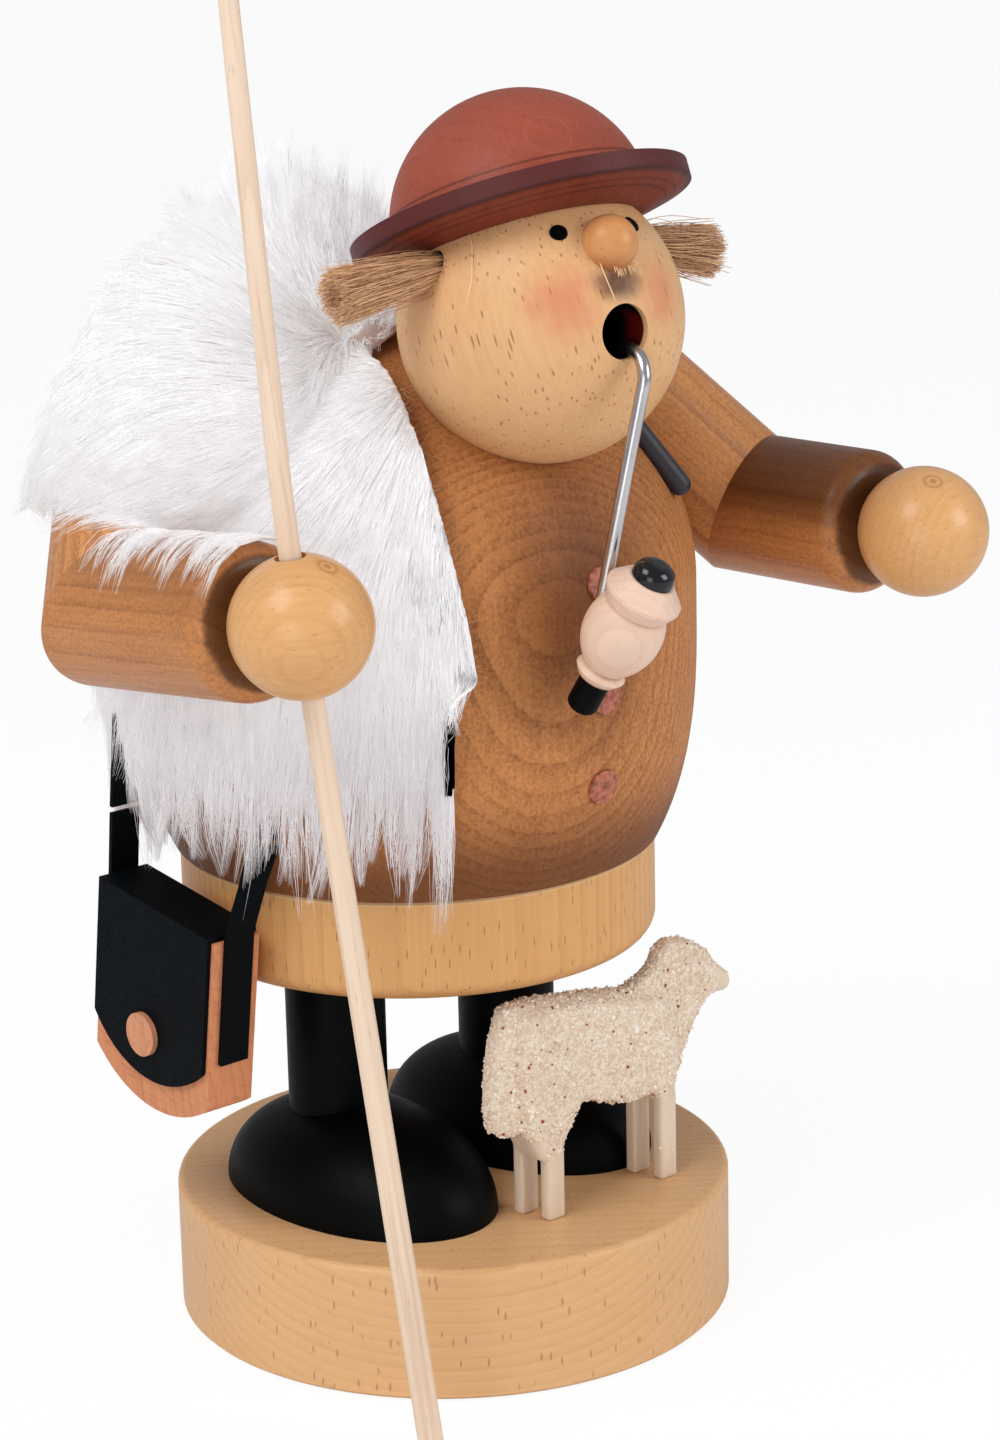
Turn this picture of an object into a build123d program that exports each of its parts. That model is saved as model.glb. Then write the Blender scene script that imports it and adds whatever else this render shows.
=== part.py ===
"""Incense smoker: a shepherd about 20 cm tall, turned from wood in two parts.

The lower part is the base, the boots, the legs and the waist ring with its
incense tray. The upper part is the hollow body with arms, head, hat and fur.
It lifts off the ring. Millimetres, +Z up, the figure faces -Y, its left hand
is on +X. The origin is the centre of the base's underside, on the table.
"""
import os
from math import acos, cos, degrees, radians, sin, sqrt

from build123d import *

os.makedirs("parts", exist_ok=True)

# General clearances and overruns
glue_gap = 0.05
curve_gap = 0.15
cut_overrun = 2.0
dowel_radius = 2.5

# Base disc
base_radius = 45.0
base_height = 21.4
base_edge = 1.1

# The figure's turned axis stands behind the base's centre
figure_back = 6.7

# Legs and boots
leg_spread = 18.1
leg_radius = 8.0
boot_half_width = 17.5
boot_half_length = 26.8
boot_height = 15.1
boot_lead_right = 5.1
boot_lead_left = 2.3
boot_sole = 8.0
foot_dowel_depth = 8.0
leg_spigot_radius = 4.0
leg_spigot_length = 7.0

# Waist ring with its spigot, tray recess and air holes
ring_radius = 38.2
ring_bottom = 60.3
ring_height = 16.3
ring_lower_round = 3.2
ring_upper_edge = 0.5
spigot_radius = 32.6
spigot_height = 3.5
air_hole_radius = 3.2
air_hole_circle = 22.0

# Incense tray
tray_radius = 12.5
tray_height = 3.2
tray_wall = 0.6
tray_recess_gap = 0.2
tray_nail_radius = 0.8
tray_nail_length = 9.0
tray_nail_head = 1.9

# Hollow body
body_foot_radius = 38.8
belly_radius = 45.25
belly_height = 111.3
belly_fullness = 2.57
belly_straight = 6.7
dome_height = 40.0
body_lower_round = 0.8
chamber_gap = 0.3
chamber_below_shoulder = 14.0
chamber_dome = 36.0
dome_flat = 2.5
curve_steps = 10

# Head
head_radius = 21.5
head_ahead = 25.4
head_above_body = 4.7
head_turn_angle = 6.7
mouth_radius = 4.1
mouth_up_angle = 1.8
mouth_past_centre = 3.0
channel_radius = 4.0
bush_radius = 6.5
bush_socket_depth = 8.0
bush_length = 18.0
channel_past_centre = 3.0

# Nose, eyes
nose_radius = 4.2
nose_up_angle = 36.7
nose_stand = 0.4
nose_peg_radius = 1.2
nose_peg_length = 5.0
eye_radius = 1.3
eye_up_angle = 43.7
eye_side_angle = 24.8
eye_peg_length = 3.0
eye_stand = 0.2

# Hat, measured along its own axis from the head's centre
hat_back_angle = 23.1
hat_side_angle = 1.1
hat_ahead = 1.35
hat_side = 0.5
brim_radius = 25.95
brim_low = 14.3
brim_band = 2.7
brim_seat = 11.9
brim_rise = 0.9
crown_radius = 19.85
crown_centre = 14.6
hat_dowel_radius = 2.5
hat_dowel_low = 12.0
hat_dowel_length = 17.0

# Hair tufts at the sides of the head
hair_radius_inner = 2.5
hair_radius_outer = 3.1
hair_height = 9.5
hair_end_right = 36.2
hair_end_left = 32.2
hair_socket = 3.0
hair_drop = 0.8

# Arms: elbow and hand places, with their heights above the body's shoulder line
arm_radius = 11.5
arm_end_round = 3.6
hand_radius = 10.3
hand_seat = 9.0
hand_spread = 59.2
hand_right_ahead = 40.8
hand_right_above = 10.8
hand_left_ahead = 48.5
hand_left_above = 6.4
elbow_right_spread = 57.4
elbow_right_back = 4.4
elbow_right_above = 5.2
elbow_left_spread = 58.0
elbow_left_back = -10.4
elbow_left_above = 5.9
right_arm_up_angle = 34.5
right_arm_out_angle = 42.0
left_arm_up_angle = 42.5
left_arm_out_angle = 46.5
upper_arm_length = 34.0
shoulder_dowel_place = 22.0
shoulder_dowel_length = 19.0
elbow_dowel_length = 15.0
wrist_dowel_length = 15.0
wrist_dowel_clear = 4.0

# Coat buttons and toggle
button_radius = 2.7
button_depth = 5.0
button_stand = 0.5
button_shares = (0.585, 0.3735, 0.1978)
toggle_radius = 1.75
toggle_low_share = 0.4
toggle_high_share = 0.6625
toggle_low_angle = 37.5
toggle_high_angle = 34.5

# Pipe: the wire's lower corner from the mouth, and the bowl's foot and lean from that corner
wire_radius = 1.0
wire_socket_depth = 3.5
wire_side = 1.3
wire_corner_ahead = 50.6
wire_corner_round = 4.2
wire_foot_side = -7.3
wire_foot_ahead = 45.4
wire_foot_drop = 39.7
wire_foot_round = 1.6
bowl_foot_side = -1.2
bowl_foot_back = 3.5
bowl_foot_drop = 15.5
bowl_lean_side = 3.5
bowl_lean_ahead = 13.4
bowl_lean_height = 22.7
bowl_wire_place = 15.4
pipe_foot_radius = 2.4
pipe_foot_length = 6.2
pipe_tenon_radius = 1.4
pipe_tenon_length = 3.0
bowl_collar_radius = 3.9
bowl_collar_width = 2.2
bowl_waist_radius = 3.2
bowl_belly_radius = 5.8
bowl_belly_place = 13.0
bowl_neck_radius = 4.8
bowl_neck_place = 19.4
bowl_rim_radius = 5.9
bowl_rim_place = 21.6
bowl_rim_width = 0.5
bowl_top_radius = 3.6
bowl_top_place = 24.6
lid_radius = 3.25
lid_height = 2.8
lid_edge = 0.5

# Staff, leaning in the right hand's bore with its foot on the table
staff_foot_side = -43.5
staff_foot_ahead = 45.0
staff_foot_radius = 1.95
staff_top_radius = 1.35
staff_length = 230.0
staff_bend_above_hand = 12.0
staff_bend_length = 8.0
staff_top_shift = 5.2
hand_bore_radius = 2.25

# Shoulder bag
bag_outer_side = -49.5
bag_front_ahead = 4.3
bag_drop = 15.2
bag_width = 29.0
bag_side_depth = 28.0
bag_depth = 33.4
bag_thickness = 8.5
bag_angle = 8.0
flap_thickness = 0.8
flap_front_inset = 0.8
flap_side_depth = 22.0
flap_depth = 28.4
bag_button_radius = 3.5
bag_button_height = 0.9
bag_button_across = 15.7
bag_button_down = 21.0
bag_button_peg_radius = 1.2
bag_button_peg_length = 4.0

# Shoulder straps
strap_width = 5.2
strap_thickness = 0.8
strap_body_gap = 0.1
strap_front_angle = -72.0
strap_rear_below = 15.5
strap_rear_ahead = -23.6
strap_rear_angle = 7.6
strap_pivot_above = 9.9
strap_pivot_gap = 0.45
strap_tail_front = 20.5
strap_tail_rear = 12.0
strap_tail_rise = 1.2
strap_tail_stand = 0.8

# Fur cape over the right shoulder
fur_body_gap = 1.3
fur_arm_gap = 0.4
fur_panel_thickness = 3.0
fur_panel_start_angle = -20.0
fur_panel_arc_angle = 120.0
fur_panel_below = 22.0
fur_panel_above = 38.0
fur_front_side = -21.7
fur_shoulder_side = -38.0
fur_shoulder_back = 15.0
fur_shoulder_above = 32.0
fur_shoulder_radius = 24.0
fur_collar_side = -24.0
fur_collar_back = 17.0
fur_collar_above = 39.0
fur_collar_radius = 19.5

# Sheep: outlines as shares of its length and height, from the tail's tip to the nose
sheep_length = 51.9
sheep_height = 39.2
sheep_rear = -15.5
sheep_ahead = 26.8
sheep_thickness = 7.0
sheep_middle = 3.6
sheep_leg_thickness = 2.1
sheep_leg_width = 3.5
sheep_edge = 0.7
sheep_outline_shares = [
    (0.121, 0.388), (0.072, 0.383), (0.013, 0.418), (0.0, 0.497), (0.004, 0.643), (0.021, 0.783),
    (0.059, 0.913), (0.083, 0.926), (0.142, 0.931), (0.239, 0.916), (0.40, 0.883), (0.564, 0.842),
    (0.615, 0.862), (0.677, 0.906), (0.70, 0.964), (0.742, 1.0), (0.816, 0.974), (0.90, 0.908),
    (0.932, 0.844), (0.99, 0.781), (1.0, 0.745), (0.99, 0.709), (0.953, 0.707), (0.92, 0.712),
    (0.882, 0.686), (0.844, 0.622), (0.789, 0.50), (0.746, 0.372), (0.62, 0.39), (0.531, 0.38),
    (0.438, 0.413), (0.338, 0.462), (0.30, 0.41), (0.24, 0.35), (0.15, 0.38),
]
sheep_flank_shares = [
    (0.095, 0.62), (0.11, 0.855), (0.157, 0.90), (0.385, 0.857), (0.556, 0.816), (0.65, 0.80),
    (0.735, 0.69), (0.737, 0.485), (0.715, 0.36), (0.65, 0.355), (0.62, 0.39), (0.531, 0.38),
    (0.438, 0.413), (0.338, 0.462), (0.307, 0.408), (0.275, 0.344), (0.235, 0.265), (0.16, 0.262),
    (0.125, 0.36), (0.10, 0.513),
]
sheep_leg_shares = ((0.213, -1, 0.35), (0.19, 1, 0.35), (0.683, -1, 0.42), (0.66, 1, 0.42))

# Places worked out from the sizes above
ring_top = ring_bottom + ring_height
spigot_top = ring_top + spigot_height
shoulder_height = belly_height + belly_straight
dome_top = shoulder_height + dome_height
head_height = dome_top + head_above_body
button_heights = [ring_top + share * (dome_top - ring_top) for share in button_shares]
toggle_low = shoulder_height + toggle_low_share * dome_height
toggle_high = shoulder_height + toggle_high_share * dome_height
strap_pivot_height = ring_top + strap_pivot_above
strap_front_top = shoulder_height
strap_rear_top = shoulder_height - strap_rear_below
bag_top = strap_pivot_height - bag_drop
fur_panel_low = shoulder_height - fur_panel_below
fur_panel_high = shoulder_height + fur_panel_above
fur_masses = (
    (fur_shoulder_side, fur_shoulder_back, shoulder_height + fur_shoulder_above, fur_shoulder_radius),
    (fur_collar_side, fur_collar_back, shoulder_height + fur_collar_above, fur_collar_radius),
)
foot_share = (1 - (body_foot_radius / belly_radius) ** belly_fullness) ** (1 / belly_fullness)
belly_sweep = (belly_height - ring_top) / foot_share
chamber_radius = spigot_radius + chamber_gap
chamber_turn = shoulder_height - chamber_below_shoulder
leg_low = base_height + boot_sole
figure_axis = Axis((0, figure_back, 0), (0, 0, 1))
head_centre = Vector(0, -head_ahead, head_height)
yaw = radians(head_turn_angle)
face_dir = Vector(-sin(yaw), -cos(yaw), 0)
ear_dir = Vector(cos(yaw), -sin(yaw), 0)
up_dir = Vector(0, 0, 1)


def save(piece, name):
    """Label a finished piece and write it as one STEP file."""
    piece.part.label = name
    export_step(piece.part, f"parts/{name}.step")


def head_dir(turn, rise):
    """A direction from the head's centre: turn towards its left ear, rise upwards."""
    flat = face_dir * cos(radians(turn)) + ear_dir * sin(radians(turn))
    return flat * cos(radians(rise)) + up_dir * sin(radians(rise))


def radial_dir(turn):
    """A level direction out from the figure's axis: 0 is the front, negative its right."""
    return Vector(sin(radians(turn)), -cos(radians(turn)), 0)


def body_radius_at(height):
    """The body's outer radius at a height above its widest place."""
    return belly_radius * sqrt(1 - ((height - shoulder_height) / dome_height) ** 2)


def lower_body_radius_at(height):
    """The body's outer radius at a height below its widest place."""
    drop = (belly_height - height) / belly_sweep
    return belly_radius * (1 - drop**belly_fullness) ** (1 / belly_fullness)


def dome_points(radius, height, base):
    """Points up a dome of elliptical section, from its foot to a small flat on its top."""
    last = acos(dome_flat / radius)
    turns = [last * step / curve_steps for step in range(curve_steps + 1)]
    return [(radius * cos(turn), base + height * sin(turn)) for turn in turns]


def body_half(grow=0.0, mode=Mode.ADD):
    """Half of the body's outer shape, grown all round, in a sketch of radius and height."""
    rise = belly_height - ring_top
    heights = [ring_top + rise * step / curve_steps for step in range(curve_steps + 1)]
    with BuildLine() as outline:
        lower = Spline(*[(lower_body_radius_at(height) + grow, height) for height in heights])
        upper = Spline(*dome_points(belly_radius + grow, dome_height + grow, shoulder_height))
        Line(lower @ 1, upper @ 0)
        Polyline(upper @ 1, (0, (upper @ 1).Y), (0, ring_top), lower @ 0)
    make_face(outline.edges(), mode=mode)


def meridian(turn):
    """The upright plane through the figure's axis in one direction."""
    out = radial_dir(turn)
    return Plane(origin=(0, figure_back, 0), x_dir=out, z_dir=out.cross(up_dir))


def body_skin(turn, arc, inner, outer, low, high):
    """A sector of a skin on the body, between two offsets and two heights."""
    with BuildPart() as skin:
        with BuildSketch(meridian(turn)):
            body_half(outer)
            body_half(inner, mode=Mode.SUBTRACT)
            with Locations((belly_radius / 2, (low + high) / 2)):
                Rectangle(belly_radius * 2, high - low, mode=Mode.INTERSECT)
        revolve(axis=figure_axis, revolution_arc=arc)
    return skin.part


def rod(start, direction, radius, length):
    """A plain round rod as a private solid."""
    with BuildPart() as bar:
        with BuildSketch(Plane(origin=start, z_dir=direction)):
            Circle(radius)
        extrude(amount=length)
    return bar.part


with BuildPart() as body_blank:
    with BuildSketch(Plane.XZ.offset(-figure_back)):
        body_half(curve_gap)
    revolve(axis=figure_axis)
body_keepout = body_blank.part

# Base disc: a round of beech with eased edges and two dowel holes
with BuildPart() as base_disc:
    with BuildSketch(Plane.XY):
        Circle(base_radius)
    extrude(amount=base_height)
    fillet(base_disc.edges().group_by(Axis.Z)[-1], base_edge)
    chamfer(base_disc.edges().group_by(Axis.Z)[0], base_edge / 2)
    with BuildSketch(Plane.XY.offset(base_height)):
        with Locations((leg_spread, figure_back), (-leg_spread, figure_back)):
            Circle(dowel_radius + glue_gap)
    extrude(amount=-foot_dowel_depth, mode=Mode.SUBTRACT)
save(base_disc, "base_disc")


def make_boot(name, side, lead):
    """A boot: half an egg with a socket for the leg and a dowel hole in its sole."""
    egg = scale(Sphere(1), by=(boot_half_width, boot_half_length, boot_height))
    with BuildPart() as boot:
        add(Pos(side * leg_spread, figure_back - lead, base_height) * egg)
        split(bisect_by=Plane.XY.offset(base_height), keep=Keep.TOP)
        with BuildSketch(Plane.XY.offset(leg_low)):
            with Locations((side * leg_spread, figure_back)):
                Circle(leg_radius + glue_gap)
        extrude(amount=boot_height, mode=Mode.SUBTRACT)
        with BuildSketch(Plane.XY.offset(base_height)):
            with Locations((side * leg_spread, figure_back)):
                Circle(dowel_radius + glue_gap)
        extrude(amount=boot_sole, mode=Mode.SUBTRACT)
    save(boot, name)


def make_leg(name, side):
    """A leg: a round post with a spigot that is glued into the waist ring."""
    with BuildPart() as leg:
        with BuildSketch(Plane.XY.offset(leg_low)):
            with Locations((side * leg_spread, figure_back)):
                Circle(leg_radius)
        extrude(amount=ring_bottom - leg_low)
        with BuildSketch(Plane.XY.offset(ring_bottom)):
            with Locations((side * leg_spread, figure_back)):
                Circle(leg_spigot_radius)
        extrude(amount=leg_spigot_length)
        with BuildSketch(Plane.XY.offset(leg_low)):
            with Locations((side * leg_spread, figure_back)):
                Circle(dowel_radius + glue_gap)
        extrude(amount=foot_dowel_depth, mode=Mode.SUBTRACT)
    save(leg, name)


make_boot("boot_right", -1, boot_lead_right)
make_boot("boot_left", 1, boot_lead_left)
make_leg("leg_right", -1)
make_leg("leg_left", 1)

# Foot dowels: one through each boot, from the base into the leg
with BuildPart() as foot_dowels:
    with BuildSketch(Plane.XY.offset(base_height - foot_dowel_depth)):
        with Locations((leg_spread, figure_back), (-leg_spread, figure_back)):
            Circle(dowel_radius)
    extrude(amount=boot_sole + foot_dowel_depth * 2)
save(foot_dowels, "foot_dowels")

# Waist ring: carries the body on its spigot and the incense tray in its recess
with BuildPart() as waist_ring:
    with BuildSketch(Plane.XY.offset(ring_bottom)):
        with Locations((0, figure_back)):
            Circle(ring_radius)
    extrude(amount=ring_height)
    fillet(waist_ring.edges().group_by(Axis.Z)[0], ring_lower_round)
    chamfer(waist_ring.edges().group_by(Axis.Z)[-1], ring_upper_edge)
    with BuildSketch(Plane.XY.offset(ring_top)):
        with Locations((0, figure_back)):
            Circle(spigot_radius)
    extrude(amount=spigot_height)
    chamfer(waist_ring.edges().group_by(Axis.Z)[-1], ring_upper_edge)
    with BuildSketch(Plane.XY.offset(spigot_top)):
        with Locations((0, figure_back)):
            Circle(tray_radius + tray_recess_gap)
    extrude(amount=-tray_height, mode=Mode.SUBTRACT)
    with BuildSketch(Plane.XY.offset(spigot_top)):
        with Locations((0, figure_back + air_hole_circle), (0, figure_back - air_hole_circle)):
            Circle(air_hole_radius)
    extrude(amount=-(ring_height + spigot_height), mode=Mode.SUBTRACT)
    with BuildSketch(Plane.XY.offset(ring_bottom)):
        with Locations((leg_spread, figure_back), (-leg_spread, figure_back)):
            Circle(leg_spigot_radius + glue_gap)
    extrude(amount=leg_spigot_length + glue_gap, mode=Mode.SUBTRACT)
    with BuildSketch(Plane.XY.offset(spigot_top - tray_height)):
        with Locations((0, figure_back)):
            Circle(tray_nail_radius + glue_gap)
    extrude(amount=-tray_nail_length, mode=Mode.SUBTRACT)
save(waist_ring, "waist_ring")

# Incense tray: a shallow pressed dish, nailed to the ring
tray_floor = spigot_top - tray_height
with BuildPart() as incense_tray:
    with BuildSketch(Plane.XY.offset(tray_floor)):
        with Locations((0, figure_back)):
            Circle(tray_radius)
    extrude(amount=tray_height)
    with BuildSketch(Plane.XY.offset(tray_floor + tray_wall)):
        with Locations((0, figure_back)):
            Circle(tray_radius - tray_wall)
    extrude(amount=tray_height, mode=Mode.SUBTRACT)
    with BuildSketch(Plane.XY.offset(tray_floor)):
        with Locations((0, figure_back)):
            Circle(tray_nail_radius + glue_gap)
    with BuildSketch(Plane.XY.offset(tray_floor + tray_wall)):
        with Locations((0, figure_back)):
            Circle(tray_nail_head + glue_gap)
    loft(mode=Mode.SUBTRACT)
save(incense_tray, "incense_tray")

# Tray nail: countersunk flush, so that an incense cone stands flat on the tray's floor
with BuildPart() as tray_nail:
    with BuildSketch(Plane.XY.offset(tray_floor)):
        with Locations((0, figure_back)):
            Circle(tray_nail_radius)
    with BuildSketch(Plane.XY.offset(tray_floor + tray_wall)):
        with Locations((0, figure_back)):
            Circle(tray_nail_head)
    loft()
    with BuildSketch(Plane.XY.offset(tray_floor)):
        with Locations((0, figure_back)):
            Circle(tray_nail_radius)
    extrude(amount=-(tray_nail_length - tray_wall))
save(tray_nail, "tray_nail")

def sheep_slab(shares, thickness):
    """A slab with a side view given in shares, about the sheep's middle plane."""
    points = [
        (sheep_rear + along * sheep_length, base_height + up * sheep_height) for along, up in shares
    ]
    with BuildPart() as slab:
        with BuildSketch(Plane.XZ.offset(sheep_ahead - thickness / 2)):
            with BuildLine() as outline:
                Polyline(*points, close=True)
            make_face(outline.edges())
        extrude(amount=thickness)
        chamfer(slab.faces().sort_by(Axis.Y)[0].edges(), sheep_edge)
        chamfer(slab.faces().sort_by(Axis.Y)[-1].edges(), sheep_edge)
    return slab.part


# Sheep: carved thin at head and tail, thicker at the body, on four square legs
with BuildPart() as sheep:
    add(sheep_slab(sheep_outline_shares, sheep_middle))
    add(sheep_slab(sheep_flank_shares, sheep_thickness))
    for along, face, height in sheep_leg_shares:
        centre = -sheep_ahead + face * (sheep_thickness - sheep_leg_thickness) / 2
        with BuildSketch(Plane.XY.offset(base_height)):
            with Locations((sheep_rear + along * sheep_length, centre)):
                Rectangle(sheep_leg_width, sheep_leg_thickness)
        extrude(amount=height * sheep_height)
save(sheep, "sheep")

# Neck: the line from the head's centre down into the smoke chamber
chamber_aim = Vector(0, figure_back, belly_height + head_radius / 2)
neck_dir = (chamber_aim - head_centre).normalized()
neck_plane = Plane(origin=head_centre, x_dir=(1, 0, 0), z_dir=neck_dir)
bush_start = head_radius - bush_socket_depth

# Arm geometry, shared by the arms, the hands, the dowels and the fur
arm_data = {
    "right": (
        -1,
        Vector(-elbow_right_spread, elbow_right_back, shoulder_height + elbow_right_above),
        Vector(-hand_spread, -hand_right_ahead, shoulder_height + hand_right_above),
        right_arm_up_angle,
        right_arm_out_angle,
    ),
    "left": (
        1,
        Vector(elbow_left_spread, elbow_left_back, shoulder_height + elbow_left_above),
        Vector(hand_spread, -hand_left_ahead, shoulder_height + hand_left_above),
        left_arm_up_angle,
        left_arm_out_angle,
    ),
}


class Arm:
    """One arm's places and directions."""

    def __init__(self, side, elbow, hand, rise, turn):
        self.side = side
        self.elbow = elbow
        self.hand = hand
        level = Vector(-side * sin(radians(turn)), cos(radians(turn)), 0)
        self.upper_dir = level * cos(radians(rise)) + up_dir * sin(radians(rise))
        self.fore_dir = (hand - elbow).normalized()
        self.fore_length = (hand - elbow).length - hand_seat
        self.mitre_dir = (self.fore_dir - self.upper_dir).normalized()
        self.mitre_plane = Plane(origin=elbow, z_dir=self.mitre_dir)
        self.dowel_start = elbow + self.upper_dir * shoulder_dowel_place
        aim = Vector(0, figure_back, self.dowel_start.Z - arm_radius)
        self.dowel_dir = (aim - self.dowel_start).normalized()


arms = {name: Arm(*data) for name, data in arm_data.items()}


def upper_arm_bar(arm, radius, length):
    """The upper arm's cylinder, run past the elbow so that the mitre can cut it."""
    return rod(arm.elbow - arm.upper_dir * arm_radius, arm.upper_dir, radius, length + arm_radius)


def shoulder_dowel(arm, grow=0.0):
    """The dowel from the upper arm into the body's wall, or its hole when grown."""
    start = arm.dowel_start - arm.dowel_dir * grow
    return rod(start, arm.dowel_dir, dowel_radius + grow, shoulder_dowel_length + grow * 2)


def elbow_dowel(arm, grow=0.0):
    """The dowel square to the mitre joint, or its hole when grown."""
    half = elbow_dowel_length / 2 + grow
    return rod(arm.elbow - arm.mitre_dir * half, arm.mitre_dir, dowel_radius + grow, half * 2)


def wrist_dowel(arm, grow=0.0):
    """The dowel between forearm and hand, or its hole when grown."""
    start = arm.hand - arm.fore_dir * (wrist_dowel_clear + wrist_dowel_length + grow)
    return rod(start, arm.fore_dir, dowel_radius + grow, wrist_dowel_length + grow * 2)


# Body: the hollow barrel that the smoke gathers in
with BuildPart() as body_barrel:
    with BuildSketch(Plane.XZ.offset(-figure_back)):
        body_half()
    revolve(axis=figure_axis)
    fillet(body_barrel.edges().group_by(Axis.Z)[0], body_lower_round)
    with BuildSketch(Plane.XZ.offset(-figure_back)):
        with BuildLine():
            roof = Spline(*dome_points(chamber_radius, chamber_dome, chamber_turn))
            Polyline(roof @ 1, (0, (roof @ 1).Y), (0, ring_top), (chamber_radius, ring_top), roof @ 0)
        make_face()
    revolve(axis=figure_axis, mode=Mode.SUBTRACT)
    with Locations(head_centre):
        Sphere(head_radius + glue_gap, mode=Mode.SUBTRACT)
    with BuildSketch(neck_plane):
        Circle(bush_radius + glue_gap)
    extrude(amount=bush_start + bush_length + chamber_dome / 3, mode=Mode.SUBTRACT)
    for height in button_heights:
        with BuildSketch(Plane.XZ.offset(belly_radius - figure_back - button_depth)):
            with Locations((0, height)):
                Circle(button_radius + glue_gap)
        extrude(amount=button_depth * 2, mode=Mode.SUBTRACT)
    for arm in arms.values():
        add(shoulder_dowel(arm, glue_gap), mode=Mode.SUBTRACT)
save(body_barrel, "body_barrel")

# Coat buttons: three turned plugs with domed ends in the front of the body
with BuildPart() as coat_buttons:
    for height in button_heights:
        with BuildSketch(Plane.XZ.offset(belly_radius - figure_back - button_depth)):
            with Locations((0, height)):
                Circle(button_radius)
        extrude(amount=button_depth * 2)
    with BuildSketch(Plane.XZ.offset(-figure_back), mode=Mode.PRIVATE) as button_limit:
        body_half(button_stand)
    revolve(button_limit.sketch, axis=figure_axis, mode=Mode.INTERSECT)
save(coat_buttons, "coat_buttons")

# Neck bush: the hollow dowel that joins body and head and lets the smoke up
with BuildPart() as neck_bush:
    with BuildSketch(neck_plane.offset(bush_start + glue_gap)):
        Circle(bush_radius)
        Circle(channel_radius, mode=Mode.SUBTRACT)
    extrude(amount=bush_length)
save(neck_bush, "neck_bush")


def body_point(turn, height, stand):
    """A point beside the body's upper part, a distance out from its surface."""
    place = radial_dir(turn) * (body_radius_at(height) + stand)
    return Vector(place.X, place.Y + figure_back, height)


# Toggle: a small drop-shaped peg that lies on the coat below the chin
toggle_stand = toggle_radius
toggle_start = body_point(toggle_low_angle, toggle_low, toggle_stand)
toggle_end = body_point(toggle_high_angle, toggle_high, toggle_stand)
toggle_dir = (toggle_end - toggle_start).normalized()
with BuildPart() as coat_toggle:
    with BuildSketch(Plane(origin=toggle_start, z_dir=toggle_dir)):
        Circle(toggle_radius)
    extrude(amount=(toggle_end - toggle_start).length)
    with Locations(toggle_start, toggle_end):
        Sphere(toggle_radius)
    add(body_keepout, mode=Mode.SUBTRACT)
save(coat_toggle, "coat_toggle")

# Head: a ball with the mouth bored from the front and the smoke channel from below
mouth_dir = head_dir(0, mouth_up_angle)
mouth_up = ear_dir.cross(mouth_dir) * -1
mouth_plane = Plane(origin=head_centre - mouth_dir * mouth_past_centre, x_dir=ear_dir, z_dir=mouth_dir)
wire_reach = mouth_radius - wire_radius - glue_gap
wire_drop = sqrt(wire_reach**2 - wire_side**2)
wire_line = head_centre - mouth_up * wire_drop + ear_dir * wire_side
wire_start = wire_line - mouth_dir * (mouth_past_centre + wire_socket_depth)
nose_dir = head_dir(0, nose_up_angle)
nose_peg_plane = Plane(origin=head_centre, z_dir=nose_dir).offset(head_radius - nose_peg_length)
hat_back = up_dir * cos(radians(hat_back_angle)) - face_dir * sin(radians(hat_back_angle))
hat_dir = (hat_back - ear_dir * sin(radians(hat_side_angle))).normalized()
hat_front = (face_dir - hat_dir * face_dir.dot(hat_dir)).normalized()
hat_origin = head_centre + hat_front * hat_ahead + ear_dir * hat_side
hat_plane = Plane(origin=hat_origin, x_dir=hat_front, z_dir=hat_dir)
hair_level = head_centre + up_dir * hair_height
hair_start = sqrt(head_radius**2 - hair_height**2) - hair_socket


def eye_plane(turn):
    """The bottom of one eye's socket, facing outwards."""
    return Plane(origin=head_centre, z_dir=head_dir(turn, eye_up_angle)).offset(head_radius - eye_peg_length)


def hair_plane(side):
    """Where one tuft starts in its socket, with its outer end dropping a little."""
    outward = (ear_dir * side * (hair_end_left - hair_start) - up_dir * hair_drop).normalized()
    return Plane(origin=hair_level + ear_dir * side * hair_start, z_dir=outward)


with BuildPart() as head_ball:
    with Locations(head_centre):
        Sphere(head_radius)
    with BuildSketch(mouth_plane):
        Circle(mouth_radius)
    extrude(amount=head_radius * 2, mode=Mode.SUBTRACT)
    with BuildSketch(neck_plane.offset(-channel_past_centre)):
        Circle(channel_radius)
    extrude(amount=head_radius * 2, mode=Mode.SUBTRACT)
    with BuildSketch(neck_plane.offset(bush_start)):
        Circle(bush_radius + glue_gap)
    extrude(amount=head_radius, mode=Mode.SUBTRACT)
    with BuildSketch(Plane(origin=wire_start, z_dir=mouth_dir)):
        Circle(wire_radius + glue_gap)
    extrude(amount=wire_socket_depth * 2, mode=Mode.SUBTRACT)
    with BuildSketch(nose_peg_plane):
        Circle(nose_peg_radius + glue_gap)
    extrude(amount=head_radius, mode=Mode.SUBTRACT)
    for turn in (eye_side_angle, -eye_side_angle):
        with BuildSketch(eye_plane(turn)):
            Circle(eye_radius + glue_gap)
        extrude(amount=head_radius, mode=Mode.SUBTRACT)
    with BuildSketch(hat_plane.offset(hat_dowel_low)):
        Circle(hat_dowel_radius + glue_gap)
    extrude(amount=head_radius, mode=Mode.SUBTRACT)
    for side in (1, -1):
        with BuildSketch(hair_plane(side)):
            Circle(hair_radius_inner + glue_gap)
        extrude(amount=head_radius, mode=Mode.SUBTRACT)
save(head_ball, "head_ball")

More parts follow.
